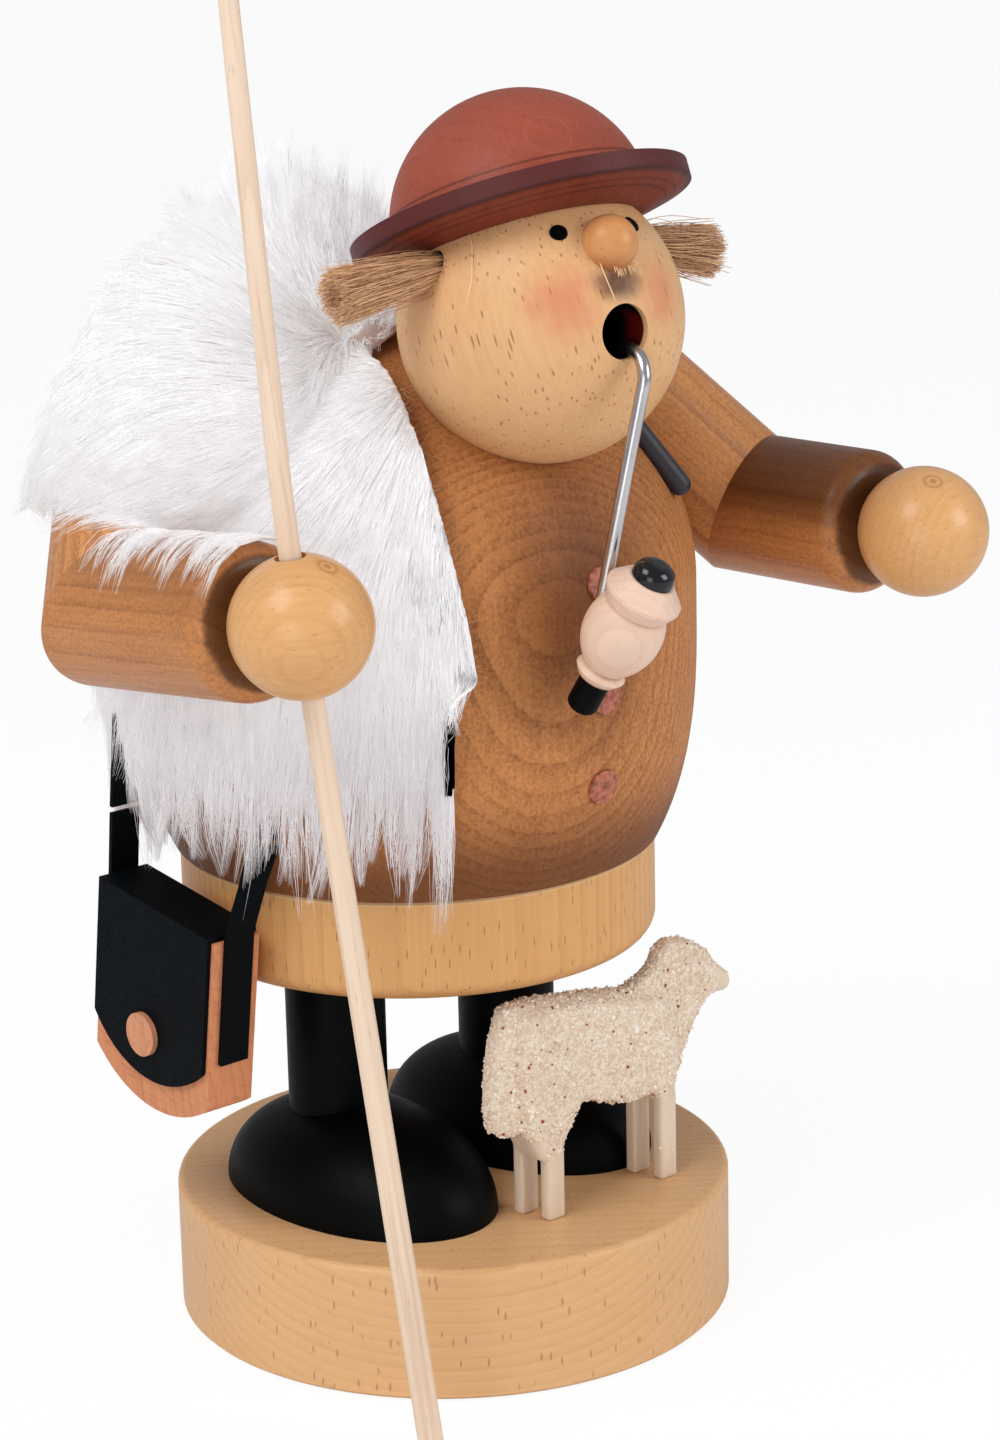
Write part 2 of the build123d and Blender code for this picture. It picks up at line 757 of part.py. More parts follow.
# Nose: a small ball on a peg, hollowed behind to sit on the head
with BuildPart() as nose:
    with Locations(head_centre + nose_dir * (head_radius + nose_stand)):
        Sphere(nose_radius)
    with Locations(head_centre):
        Sphere(head_radius + glue_gap, mode=Mode.SUBTRACT)
    with BuildSketch(nose_peg_plane.offset(glue_gap)):
        Circle(nose_peg_radius)
    extrude(amount=nose_peg_length + nose_radius / 2)
save(nose, "nose")

# Eyes: two dark pegs with domed ends
with BuildPart() as eye_pegs:
    for turn in (eye_side_angle, -eye_side_angle):
        with BuildSketch(eye_plane(turn).offset(glue_gap)):
            Circle(eye_radius)
        extrude(amount=head_radius)
    with Locations(head_centre):
        Sphere(head_radius + eye_stand, mode=Mode.INTERSECT)
save(eye_pegs, "eye_pegs")

# Hat: a turned brim and a domed crown, both hollowed to the head and held by a dowel
brim_top = brim_low + brim_band
crown_base = brim_top + brim_rise
crown_foot = sqrt(crown_radius**2 - (crown_base - crown_centre) ** 2)
hat_section = Plane(origin=hat_origin, x_dir=hat_front, z_dir=hat_front.cross(hat_dir))
seat_radius = sqrt(head_radius**2 - brim_seat**2)
with BuildPart() as hat_brim:
    with BuildSketch(hat_section):
        with BuildLine():
            Polyline(
                (0, brim_seat),
                (seat_radius, brim_seat),
                (brim_radius, brim_low),
                (brim_radius, brim_top),
                (crown_foot, crown_base),
                (0, crown_base),
                close=True,
            )
        make_face()
    revolve(axis=Axis(hat_origin, hat_dir))
    with Locations(head_centre):
        Sphere(head_radius + glue_gap, mode=Mode.SUBTRACT)
    with BuildSketch(hat_plane.offset(hat_dowel_low)):
        Circle(hat_dowel_radius + glue_gap)
    extrude(amount=hat_dowel_length, mode=Mode.SUBTRACT)
save(hat_brim, "hat_brim")

with BuildPart() as hat_crown:
    with Locations(hat_origin + hat_dir * crown_centre):
        Sphere(crown_radius)
    split(bisect_by=hat_plane.offset(crown_base), keep=Keep.TOP)
    with Locations(head_centre):
        Sphere(head_radius + glue_gap, mode=Mode.SUBTRACT)
    with BuildSketch(hat_plane.offset(hat_dowel_low)):
        Circle(hat_dowel_radius + glue_gap)
    extrude(amount=hat_dowel_length + glue_gap, mode=Mode.SUBTRACT)
save(hat_crown, "hat_crown")

with BuildPart() as hat_dowel:
    with BuildSketch(hat_plane.offset(hat_dowel_low + glue_gap)):
        Circle(hat_dowel_radius)
    extrude(amount=hat_dowel_length - glue_gap)
save(hat_dowel, "hat_dowel")


def make_hair(name, side, reach):
    """A tuft of hair glued in its socket, as one closed tapering bundle."""
    root = hair_plane(side).offset(glue_gap)
    tuft_length = reach - hair_start
    with BuildPart() as tuft:
        with BuildSketch(root):
            Circle(hair_radius_inner)
        with BuildSketch(root.offset(hair_socket * 2)):
            Circle(hair_radius_inner)
        loft(ruled=True)
        with BuildSketch(root.offset(hair_socket * 2)):
            Circle(hair_radius_inner)
        with BuildSketch(root.offset(tuft_length)):
            Circle(hair_radius_outer)
        loft(ruled=True)
    save(tuft, name)


make_hair("hair_right", -1, hair_end_right)
make_hair("hair_left", 1, hair_end_left)


def make_upper_arm(name, arm):
    """The upper arm: mitred at the elbow, rounded at its top, coped to the body."""
    end = arm.elbow + arm.upper_dir * upper_arm_length
    with BuildPart() as upper:
        add(upper_arm_bar(arm, arm_radius, upper_arm_length))
        fillet(upper.edges().filter_by(GeomType.CIRCLE).sort_by_distance(end)[0], arm_end_round)
        split(bisect_by=arm.mitre_plane, keep=Keep.BOTTOM)
        add(body_keepout, mode=Mode.SUBTRACT)
        add(shoulder_dowel(arm, glue_gap), mode=Mode.SUBTRACT)
        add(elbow_dowel(arm, glue_gap), mode=Mode.SUBTRACT)
    save(upper, name)


def make_forearm(name, arm):
    """The forearm: mitred at the elbow, rounded and dished at the hand."""
    back = arm_radius
    end = arm.elbow + arm.fore_dir * arm.fore_length
    with BuildPart() as fore:
        add(rod(arm.elbow - arm.fore_dir * back, arm.fore_dir, arm_radius, arm.fore_length + back))
        fillet(fore.edges().filter_by(GeomType.CIRCLE).sort_by_distance(end)[0], arm_end_round)
        split(bisect_by=arm.mitre_plane, keep=Keep.TOP)
        with Locations(arm.hand):
            Sphere(hand_radius + glue_gap, mode=Mode.SUBTRACT)
        add(elbow_dowel(arm, glue_gap), mode=Mode.SUBTRACT)
        add(wrist_dowel(arm, glue_gap), mode=Mode.SUBTRACT)
    save(fore, name)


staff_foot = Vector(staff_foot_side, -staff_foot_ahead, 0)
staff_dir = (arms["right"].hand - staff_foot).normalized()


hand_place = (arms["right"].hand - staff_foot).length
bend_start = hand_place + staff_bend_above_hand
bend_end = bend_start + staff_bend_length
staff_top = staff_foot + staff_dir * staff_length + Vector(staff_top_shift, 0, 0)
bend_point = staff_foot + staff_dir * (bend_start + bend_end) / 2
staff_top_dir = (staff_top - bend_point).normalized()


def staff_radius_at(along):
    """The staff's radius at a distance from its foot."""
    return staff_foot_radius + (staff_top_radius - staff_foot_radius) * along / staff_length


staff_stations = (
    (staff_foot + staff_dir * bend_start, staff_radius_at(bend_start), staff_dir),
    (bend_point + staff_top_dir * staff_bend_length / 2, staff_radius_at(bend_end), staff_top_dir),
    (staff_top, staff_top_radius, staff_top_dir),
)


def make_hand(name, arm, bored):
    """A hand: a ball on the wrist dowel; the right one is bored for the staff."""
    with BuildPart() as hand:
        with Locations(arm.hand):
            Sphere(hand_radius)
        add(wrist_dowel(arm, glue_gap), mode=Mode.SUBTRACT)
        if bored:
            half = hand_radius + cut_overrun
            bore = rod(arm.hand - staff_dir * half, staff_dir, hand_bore_radius, half * 2)
            add(bore, mode=Mode.SUBTRACT)
    save(hand, name)


for label, arm in arms.items():
    make_upper_arm(f"upper_arm_{label}", arm)
    make_forearm(f"forearm_{label}", arm)
    make_hand(f"hand_{label}", arm, label == "right")

with BuildPart() as shoulder_dowels:
    for arm in arms.values():
        add(shoulder_dowel(arm))
save(shoulder_dowels, "shoulder_dowels")

with BuildPart() as elbow_dowels:
    for arm in arms.values():
        add(elbow_dowel(arm))
save(elbow_dowels, "elbow_dowels")

with BuildPart() as wrist_dowels:
    for arm in arms.values():
        add(wrist_dowel(arm))
save(wrist_dowels, "wrist_dowels")

# Staff: a whittled stick, thinner and slightly bent towards its top, cut level at its foot
with BuildPart() as staff:
    lean = staff_foot_radius * 2
    with BuildSketch(Plane(origin=staff_foot - staff_dir * lean, z_dir=staff_dir)):
        Circle(staff_foot_radius)
    for place, thickness, turned in staff_stations:
        with BuildSketch(Plane(origin=place, z_dir=turned)):
            Circle(thickness)
    loft(ruled=True)
    split(bisect_by=Plane.XY, keep=Keep.TOP)
save(staff, "staff")

# Pipe: a bent wire stem from the mouth to a turned bowl
wire_foot = Vector(wire_foot_side, -wire_foot_ahead, head_height - wire_foot_drop)
bowl_foot = wire_foot + Vector(bowl_foot_side, bowl_foot_back, -bowl_foot_drop)
bowl_dir = Vector(bowl_lean_side, -bowl_lean_ahead, bowl_lean_height).normalized()
bowl_plane = Plane(origin=bowl_foot, x_dir=(1, 0, 0), z_dir=bowl_dir)
wire_corner = wire_line + mouth_dir * (wire_corner_ahead + wire_line.Y) / -mouth_dir.Y
wire_end = bowl_foot + bowl_dir * bowl_wire_place


def wire_sweep(radius):
    """The stem's wire along its bent path, with a chosen radius."""
    with BuildPart() as wire:
        with BuildLine() as path:
            FilletPolyline(
                wire_start, wire_corner, wire_foot, wire_end, radius=(wire_corner_round, wire_foot_round)
            )
        with BuildSketch(Plane(origin=wire_start, z_dir=mouth_dir)):
            Circle(radius)
        sweep(path=path.line)
    return wire.part


with BuildPart() as pipe_stem:
    add(wire_sweep(wire_radius))
save(pipe_stem, "pipe_stem")

collar_top = pipe_foot_length + bowl_collar_width
rim_top = bowl_top_place
with BuildPart() as pipe_bowl:
    with BuildSketch(Plane(origin=bowl_foot, x_dir=bowl_plane.x_dir, z_dir=bowl_plane.x_dir.cross(bowl_dir))):
        with BuildLine():
            Polyline(
                (0, rim_top),
                (0, pipe_foot_length),
                (bowl_waist_radius, pipe_foot_length),
                (bowl_collar_radius, pipe_foot_length + bowl_collar_width / 2),
                (bowl_waist_radius, collar_top),
            )
            ThreePointArc(
                (bowl_waist_radius, collar_top),
                (bowl_belly_radius, bowl_belly_place),
                (bowl_neck_radius, bowl_neck_place),
            )
            Polyline(
                (bowl_neck_radius, bowl_neck_place),
                (bowl_rim_radius, bowl_rim_place),
                (bowl_rim_radius, bowl_rim_place + bowl_rim_width),
                (bowl_top_radius, rim_top),
                (0, rim_top),
            )
        make_face()
    revolve(axis=Axis(bowl_foot, bowl_dir))
    with BuildSketch(bowl_plane.offset(pipe_foot_length)):
        Circle(pipe_tenon_radius + glue_gap)
    extrude(amount=pipe_tenon_length + glue_gap, mode=Mode.SUBTRACT)
    with BuildSketch(bowl_plane.offset(rim_top)):
        Circle(pipe_tenon_radius + glue_gap)
    extrude(amount=-(pipe_tenon_length + glue_gap), mode=Mode.SUBTRACT)
    add(wire_sweep(wire_radius + glue_gap), mode=Mode.SUBTRACT)
save(pipe_bowl, "pipe_bowl")

with BuildPart() as pipe_foot:
    with BuildSketch(bowl_plane):
        Circle(pipe_foot_radius)
    extrude(amount=pipe_foot_length)
    foot_edges = pipe_foot.edges().filter_by(GeomType.CIRCLE)
    fillet(foot_edges.sort_by_distance(bowl_foot)[0], pipe_foot_radius / 2)
    with BuildSketch(bowl_plane.offset(pipe_foot_length)):
        Circle(pipe_tenon_radius)
    extrude(amount=pipe_tenon_length)
save(pipe_foot, "pipe_foot")

with BuildPart() as pipe_lid:
    with BuildSketch(bowl_plane.offset(rim_top)):
        Circle(lid_radius)
    extrude(amount=lid_height)
    lid_edges = pipe_lid.edges().filter_by(GeomType.CIRCLE)
    fillet(lid_edges.sort_by_distance(bowl_foot)[-1], lid_height - lid_edge)
    with BuildSketch(bowl_plane.offset(rim_top)):
        Circle(pipe_tenon_radius)
    extrude(amount=-pipe_tenon_length)
save(pipe_lid, "pipe_lid")

# Bag: a wooden block with a leather flap, hung at the figure's right side
bag_back = Vector(0, cos(radians(bag_angle)), sin(radians(bag_angle)))
bag_plane = Plane(
    origin=(bag_outer_side, -bag_front_ahead, bag_top), x_dir=bag_back, z_dir=(1, 0, 0)
)
bag_up = bag_plane.y_dir


def bag_outline(front, top, side_depth, depth):
    """The bag's side view: straight narrow sides and an arched bottom."""
    rear_foot = (bag_width, -side_depth)
    front_foot = (front, -side_depth)
    with BuildLine() as outline:
        Polyline(rear_foot, (bag_width, top), (front, top), front_foot)
        ThreePointArc(front_foot, ((bag_width + front) / 2, -depth), rear_foot)
    make_face(outline.edges())


with BuildPart() as bag_block:
    with BuildSketch(bag_plane):
        bag_outline(0, 0, bag_side_depth, bag_depth)
    extrude(amount=bag_thickness)
    with BuildSketch(bag_plane):
        with Locations((bag_button_across, -bag_button_down)):
            Circle(bag_button_peg_radius + glue_gap)
    extrude(amount=bag_button_peg_length, mode=Mode.SUBTRACT)
save(bag_block, "bag_block")

with BuildPart() as bag_flap:
    with BuildSketch(bag_plane):
        bag_outline(flap_front_inset, flap_thickness, flap_side_depth, flap_depth)
    extrude(amount=-flap_thickness)
    with BuildSketch(bag_plane):
        with Locations(((bag_width + flap_front_inset) / 2, flap_thickness / 2)):
            Rectangle(bag_width - flap_front_inset, flap_thickness)
    extrude(amount=bag_thickness)
    with BuildSketch(bag_plane):
        with Locations((bag_button_across, -bag_button_down)):
            Circle(bag_button_peg_radius + glue_gap)
    extrude(amount=-flap_thickness, mode=Mode.SUBTRACT)
save(bag_flap, "bag_flap")

with BuildPart() as bag_button:
    with BuildSketch(bag_plane.offset(-flap_thickness)):
        with Locations((bag_button_across, -bag_button_down)):
            Circle(bag_button_radius)
    extrude(amount=-bag_button_height)
    with BuildSketch(bag_plane.offset(-flap_thickness)):
        with Locations((bag_button_across, -bag_button_down)):
            Circle(bag_button_peg_radius)
    extrude(amount=bag_button_peg_length + flap_thickness - glue_gap)
save(bag_button, "bag_button")

# Strap tails: glued to the bag's narrow sides, turning towards the body as they rise
bag_middle = bag_outer_side + bag_thickness / 2


front_out = radial_dir(strap_front_angle)
tail_top = strap_pivot_height - strap_pivot_gap
front_stand = lower_body_radius_at(tail_top) + strap_tail_stand
front_high = Plane(
    origin=front_out * front_stand + Vector(0, figure_back, tail_top),
    x_dir=(-front_out.Y, front_out.X, 0),
    z_dir=(0, 0, 1),
)
rear_high = Plane(origin=(bag_middle, -strap_rear_ahead, tail_top), x_dir=(1, 0, 0), z_dir=(0, 0, 1))


def strap_tail(across, side, length, high):
    """One tail: flat on the bag's side, then rising to the pivot by a loft."""
    bag_face = bag_plane.origin + bag_back * (across + side * strap_thickness / 2)
    low = Plane(
        origin=Vector(bag_middle, bag_face.Y, bag_face.Z) + bag_up * strap_tail_rise,
        x_dir=(1, 0, 0),
        z_dir=bag_up,
    )
    with BuildPart() as tail:
        with BuildSketch(low):
            Rectangle(strap_width, strap_thickness)
        extrude(amount=-(length + strap_tail_rise))
        with BuildSketch(low):
            Rectangle(strap_width, strap_thickness)
        with BuildSketch(high):
            Rectangle(strap_width, strap_thickness)
        loft(ruled=True)
    return tail.part


with BuildPart() as bag_straps:
    add(strap_tail(0, -1, strap_tail_front, front_high))
    add(strap_tail(bag_width, 1, strap_tail_rear, rear_high))
save(bag_straps, "bag_straps")

# Shoulder straps: the front end lies on the body, the rear end hangs from under the fur
strap_arc = degrees(strap_width / belly_radius)
strap_low = strap_pivot_height + strap_pivot_gap
strap_up = Vector(0, -sin(radians(strap_rear_angle)), cos(radians(strap_rear_angle)))


def rear_strap(grow):
    """The straight rear end of the strap, or its room in the fur when grown."""
    start = Plane(origin=(bag_middle, -strap_rear_ahead, strap_low), x_dir=(1, 0, 0), z_dir=strap_up)
    with BuildPart() as band:
        with BuildSketch(start):
            Rectangle(strap_width + grow * 2, strap_thickness + grow * 2)
        extrude(amount=strap_rear_top - strap_low + grow)
    return band.part


with BuildPart() as shoulder_straps:
    add(
        body_skin(
            strap_front_angle - strap_arc / 2,
            strap_arc,
            strap_body_gap,
            strap_body_gap + strap_thickness,
            strap_low,
            strap_front_top,
        )
    )
    add(rear_strap(0))
save(shoulder_straps, "shoulder_straps")

# Fur cape: the pelt's bulk as one closed solid that clears the body, arm and straps
right_arm = arms["right"]
with BuildPart() as fur_cape:
    add(
        body_skin(
            fur_panel_start_angle - fur_panel_arc_angle,
            fur_panel_arc_angle,
            fur_body_gap,
            fur_body_gap + fur_panel_thickness,
            fur_panel_low,
            fur_panel_high,
        )
    )
    split(bisect_by=Plane.YZ.offset(fur_front_side), keep=Keep.BOTTOM)
    for side, back, height, radius in fur_masses:
        with Locations((side, back, height)):
            Sphere(radius)
    with BuildSketch(Plane.XZ.offset(-figure_back), mode=Mode.PRIVATE) as fur_limit:
        body_half(fur_body_gap)
    revolve(fur_limit.sketch, axis=figure_axis, mode=Mode.SUBTRACT)
    add(rear_strap(fur_arm_gap), mode=Mode.SUBTRACT)
    fur_bar = arm_radius + fur_arm_gap
    arm_runs = ((right_arm.upper_dir, upper_arm_length), (right_arm.fore_dir, right_arm.fore_length))
    for along, reach in arm_runs:
        arm_room = rod(right_arm.elbow - along * fur_bar, along, fur_bar, reach + fur_bar + fur_arm_gap)
        add(arm_room, mode=Mode.SUBTRACT)
save(fur_cape, "fur_cape")
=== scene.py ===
from math import cos, pi, radians, sin

import bmesh
import bpy
import numpy as np
from mathutils import Matrix, Vector
from mathutils.bvhtree import BVHTree
from mathutils.kdtree import KDTree


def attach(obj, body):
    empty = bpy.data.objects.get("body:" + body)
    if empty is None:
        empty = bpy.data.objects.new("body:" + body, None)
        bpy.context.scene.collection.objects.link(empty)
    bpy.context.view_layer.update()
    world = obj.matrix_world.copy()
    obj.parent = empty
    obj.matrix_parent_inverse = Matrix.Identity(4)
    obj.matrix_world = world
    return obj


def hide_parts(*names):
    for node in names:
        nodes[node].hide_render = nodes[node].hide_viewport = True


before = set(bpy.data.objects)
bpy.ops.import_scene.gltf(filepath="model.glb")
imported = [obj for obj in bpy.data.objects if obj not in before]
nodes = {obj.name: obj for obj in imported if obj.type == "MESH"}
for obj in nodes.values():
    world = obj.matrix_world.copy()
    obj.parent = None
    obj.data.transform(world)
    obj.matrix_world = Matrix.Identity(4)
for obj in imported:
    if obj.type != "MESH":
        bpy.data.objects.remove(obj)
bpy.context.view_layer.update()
MM = 0.001
UP = Vector((0, 0, 1))

# Room, lamps and camera
# White paper under soft boxes: a broad one above on the left, a weaker one on the right and
# a low one in front, in a pale room. The camera looks from the figure's right, a little above.


def tone(red, green, blue):
    """A colour read as 0 to 255 on a screen, as the shader wants it."""
    parts = [c / 255 for c in (red, green, blue)]
    return tuple(((c + 0.055) / 1.055) ** 2.4 if c > 0.04045 else c / 12.92 for c in parts) + (1.0,)


def math_node(operation, swapped=False):
    """One of Sum's operators: it adds a Math node, with its two sides swapped or not."""

    def add(self, other):
        first, second = (other, self) if swapped else (self, other)
        return self.finish.node("ShaderNodeMath", {"operation": operation}, {0: first, 1: second})

    return add


class Sum:
    """A shader socket that plain sums can be written on."""

    def __init__(self, finish, socket):
        self.finish, self.socket = finish, socket

    __add__, __radd__ = math_node("ADD"), math_node("ADD", True)
    __sub__, __rsub__ = math_node("SUBTRACT"), math_node("SUBTRACT", True)
    __mul__, __rmul__ = math_node("MULTIPLY"), math_node("MULTIPLY", True)
    __truediv__, __pow__ = math_node("DIVIDE"), math_node("POWER")


class Finish:
    """One material. node() adds any node, and the few calls below it are the ones used most."""

    def __init__(self, name):
        self.material = bpy.data.materials.new(name)
        self.material.use_nodes = True
        self.tree = self.material.node_tree
        self.shader = self.tree.nodes["Principled BSDF"]

    def node(self, kind, settings=None, inputs=None, out=0):
        made = self.tree.nodes.new(kind)
        for key, value in (settings or {}).items():
            setattr(made, key, value)
        for key, value in (inputs or {}).items():
            self.feed(made.inputs[key], value)
        return Sum(self, made.outputs[out])

    def feed(self, socket, value):
        if isinstance(value, Sum):
            self.tree.links.new(value.socket, socket)
        else:
            socket.default_value = value

    def place(self, at=(0, 0, 0), turn=(0, 0, 0), size=(1, 1, 1)):
        """Object coordinates seen from a point, a turn and a size of the pattern's own."""
        here = self.node("ShaderNodeTexCoord", out="Object")
        return self.node(
            "ShaderNodeMapping",
            {"vector_type": "TEXTURE"},
            {"Vector": here, "Location": at, "Rotation": turn, "Scale": size},
        )

    def stretch(self, vector, size):
        return self.node("ShaderNodeVectorMath", {"operation": "MULTIPLY"}, {0: vector, 1: size})

    def distance(self, vector, point):
        return self.node("ShaderNodeVectorMath", {"operation": "DISTANCE"}, {0: vector, 1: point}, "Value")

    def noise(self, vector, scale, detail=2.0, rough=0.5, twist=0.0):
        return self.node(
            "ShaderNodeTexNoise",
            None,
            {"Vector": vector, "Scale": scale, "Detail": detail, "Roughness": rough, "Distortion": twist},
        )

    def cells(self, vector, scale):
        """How far each point is from the middle of its own small cell."""
        return self.node("ShaderNodeTexVoronoi", None, {"Vector": vector, "Scale": scale}, "Distance")

    def shade(self):
        """The shade that each strand or grain of a strewn piece carries."""
        return self.node("ShaderNodeAttribute", {"attribute_name": "shade"}, out="Fac")

    def step(self, value, low, high, start=0.0, end=1.0):
        """Smoothly from start to end while value goes from low to high."""
        return self.node(
            "ShaderNodeMapRange",
            {"interpolation_type": "SMOOTHSTEP"},
            {"Value": value, "From Min": low, "From Max": high, "To Min": start, "To Max": end},
        )

    def fade(self, value, low, high):
        """Smoothly from 1 to 0 while value goes from low to high."""
        return self.step(value, low, high, 1.0, 0.0)

    def band(self, value, rise, full, ebb, gone):
        """1 from full to ebb, and smoothly down to 0 at rise and at gone."""
        return self.step(value, rise, full) * self.fade(value, ebb, gone)

    def line(self, value, at, wide):
        """1 where value is at, and smoothly down to 0 a little to either side."""
        return self.band(value, at - wide, at, at, at + wide)

    def mix(self, share, first, second):
        return self.node(
            "ShaderNodeMix",
            {"data_type": "RGBA", "blend_type": "MIX", "clamp_factor": True},
            {0: share, 6: first, 7: second},
            2,
        )

    def parts(self, vector):
        made = self.tree.nodes.new("ShaderNodeSeparateXYZ")
        self.feed(made.inputs[0], vector)
        return [Sum(self, made.outputs[i]) for i in range(3)]

    def height(self):
        """The height above the table."""
        return self.parts(self.place())[2]

    def bump(self, height, depth, strength=1.0):
        """depth is the real height of the pattern in metres, where height goes from 0 to 1."""
        return self.node("ShaderNodeBump", None, {"Height": height, "Distance": depth, "Strength": strength})

    def surface(self, **values):
        for key, value in values.items():
            self.feed(self.shader.inputs[key.replace("_", " ")], value)
        return self.material


def dress(name, material):
    """Give a solid from the frame its finish."""
    node = nodes[name]
    node.data.materials.clear()
    node.data.materials.append(material)


def plain(name, noise, colours, rough, spread, depth, strength, size=(1, 1, 1), **more):
    """A finish whose colour, roughness and relief follow one noise (scale, detail, roughness)."""
    paint = Finish(name)
    cloud = paint.noise(paint.place(size=size), *noise)
    return paint.surface(
        Base_Color=paint.mix(cloud, *colours),
        Roughness=rough + cloud * spread,
        Normal=paint.bump(cloud, depth, strength),
        **more,
    )


def placed(name, data):
    """A new object in the scene."""
    made = bpy.data.objects.new(name, data)
    bpy.context.scene.collection.objects.link(made)
    return made


def meshed(name, bm):
    """A bmesh made a mesh, and freed."""
    mesh = bpy.data.meshes.new(name)
    bm.to_mesh(mesh)
    bm.free()
    return mesh


def finished(name, bm, material, body):
    """A new piece from a bmesh, riding on one body of the frame."""
    piece = placed(name, meshed(name, bm))
    piece.data.materials.append(material)
    piece.data.shade_smooth()
    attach(piece, body)
    return piece


VIEW_SIDE, VIEW_RISE, VIEW_ROLL = radians(-41.1), radians(15.2), radians(-1.3)
VIEW_AWAY, VIEW_LENS, VIEW_FILM = 0.55, 91.4, 36.0
VIEW_AIM = Vector((-0.0119, -0.0278, 0.1037))

view_back = Vector((sin(VIEW_SIDE) * cos(VIEW_RISE), -cos(VIEW_SIDE) * cos(VIEW_RISE), sin(VIEW_RISE)))
level_right = Vector((cos(VIEW_SIDE), sin(VIEW_SIDE), 0))
level_up = view_back.cross(level_right)
view_right = level_right * cos(VIEW_ROLL) + level_up * sin(VIEW_ROLL)
view_up = level_up * cos(VIEW_ROLL) - level_right * sin(VIEW_ROLL)

lens = bpy.data.cameras.new("camera")
lens.lens, lens.sensor_width, lens.sensor_fit = VIEW_LENS, VIEW_FILM, "AUTO"
lens.clip_start, lens.clip_end = 0.01, 20
camera = placed("camera", lens)
camera.matrix_world = Matrix.Translation(VIEW_AIM + view_back * VIEW_AWAY) @ Matrix(
    (view_right, view_up, view_back)
).transposed().to_4x4()
bpy.context.scene.camera = camera
bpy.context.scene.view_settings.view_transform = "Standard"


def soft_box(name, across, high, near, size, power):
    """A square white lamp placed from the camera's own axes and aimed at the figure."""
    lamp = bpy.data.lights.new(name, "AREA")
    lamp.shape, lamp.size, lamp.energy = "SQUARE", size, power
    holder = placed(name, lamp)
    level_back = Vector((view_back.x, view_back.y, 0)).normalized()
    holder.location = VIEW_AIM + level_right * across + UP * high + level_back * near
    holder.rotation_euler = (holder.location - VIEW_AIM).to_track_quat("Z", "Y").to_euler()


soft_box("key_lamp", -0.45, 0.75, 0.45, 0.5, 4.8)
soft_box("side_lamp", 0.80, 0.35, 0.25, 0.4, 2.9)
soft_box("front_lamp", -0.25, 0.12, 1.0, 0.5, 2.0)

world = bpy.data.worlds.new("room")
world.use_nodes = True
bpy.context.scene.world = world
room = world.node_tree
room.nodes.clear()
room_out, room_pick, room_light, room_white, room_rays, room_any = (
    room.nodes.new(f"ShaderNode{kind}")
    for kind in ("OutputWorld", "MixShader", "Background", "Background", "LightPath", "Math")
)
room_any.operation = "MAXIMUM"
for glow, colour, strength in (
    (room_light, (0.93, 0.95, 1.0, 1.0), 0.42), (room_white, (1.0, 1.0, 1.0, 1.0), 1.0)
):
    glow.inputs["Color"].default_value = colour
    glow.inputs["Strength"].default_value = strength
for giver, taker in (
    (room_rays.outputs["Is Camera Ray"], room_any.inputs[0]),
    (room_rays.outputs["Is Transmission Ray"], room_any.inputs[1]),
    (room_any.outputs[0], room_pick.inputs[0]),
    (room_light.outputs[0], room_pick.inputs[1]),
    (room_white.outputs[0], room_pick.inputs[2]),
    (room_pick.outputs[0], room_out.inputs[0]),
):
    room.links.new(giver, taker)

paper = Finish("white_paper")
paper.surface(Base_Color=(0.92, 0.92, 0.92, 1.0), Roughness=0.9)
paper_rays = paper.node("ShaderNodeLightPath", out="Is Camera Ray")
paper_glow = paper.node("ShaderNodeEmission", None, {"Color": (1.0, 1.0, 1.0, 1.0), "Strength": 1.03})
paper_mix = paper.node(
    "ShaderNodeMixShader",
    None,
    {0: paper_rays * 0.88, 1: Sum(paper, paper.shader.outputs[0]), 2: paper_glow},
)
paper.tree.links.new(paper_mix.socket, paper.tree.nodes["Material Output"].inputs["Surface"])

FLOOR_REACH, FLOOR_LOW = 6.0, -0.0003
bm = bmesh.new()
bmesh.ops.create_circle(bm, cap_ends=True, segments=96, radius=FLOOR_REACH)
bmesh.ops.translate(bm, verts=bm.verts, vec=(0, 0, FLOOR_LOW))
floor = placed("floor", meshed("floor", bm))
floor.data.materials.append(paper.material)

# Base disc
# A round of pale beech, 90 mm across, turned with eased edges and waxed. Its growth rings
# show as fine lines round the side, with the short dark rays that mark beech.


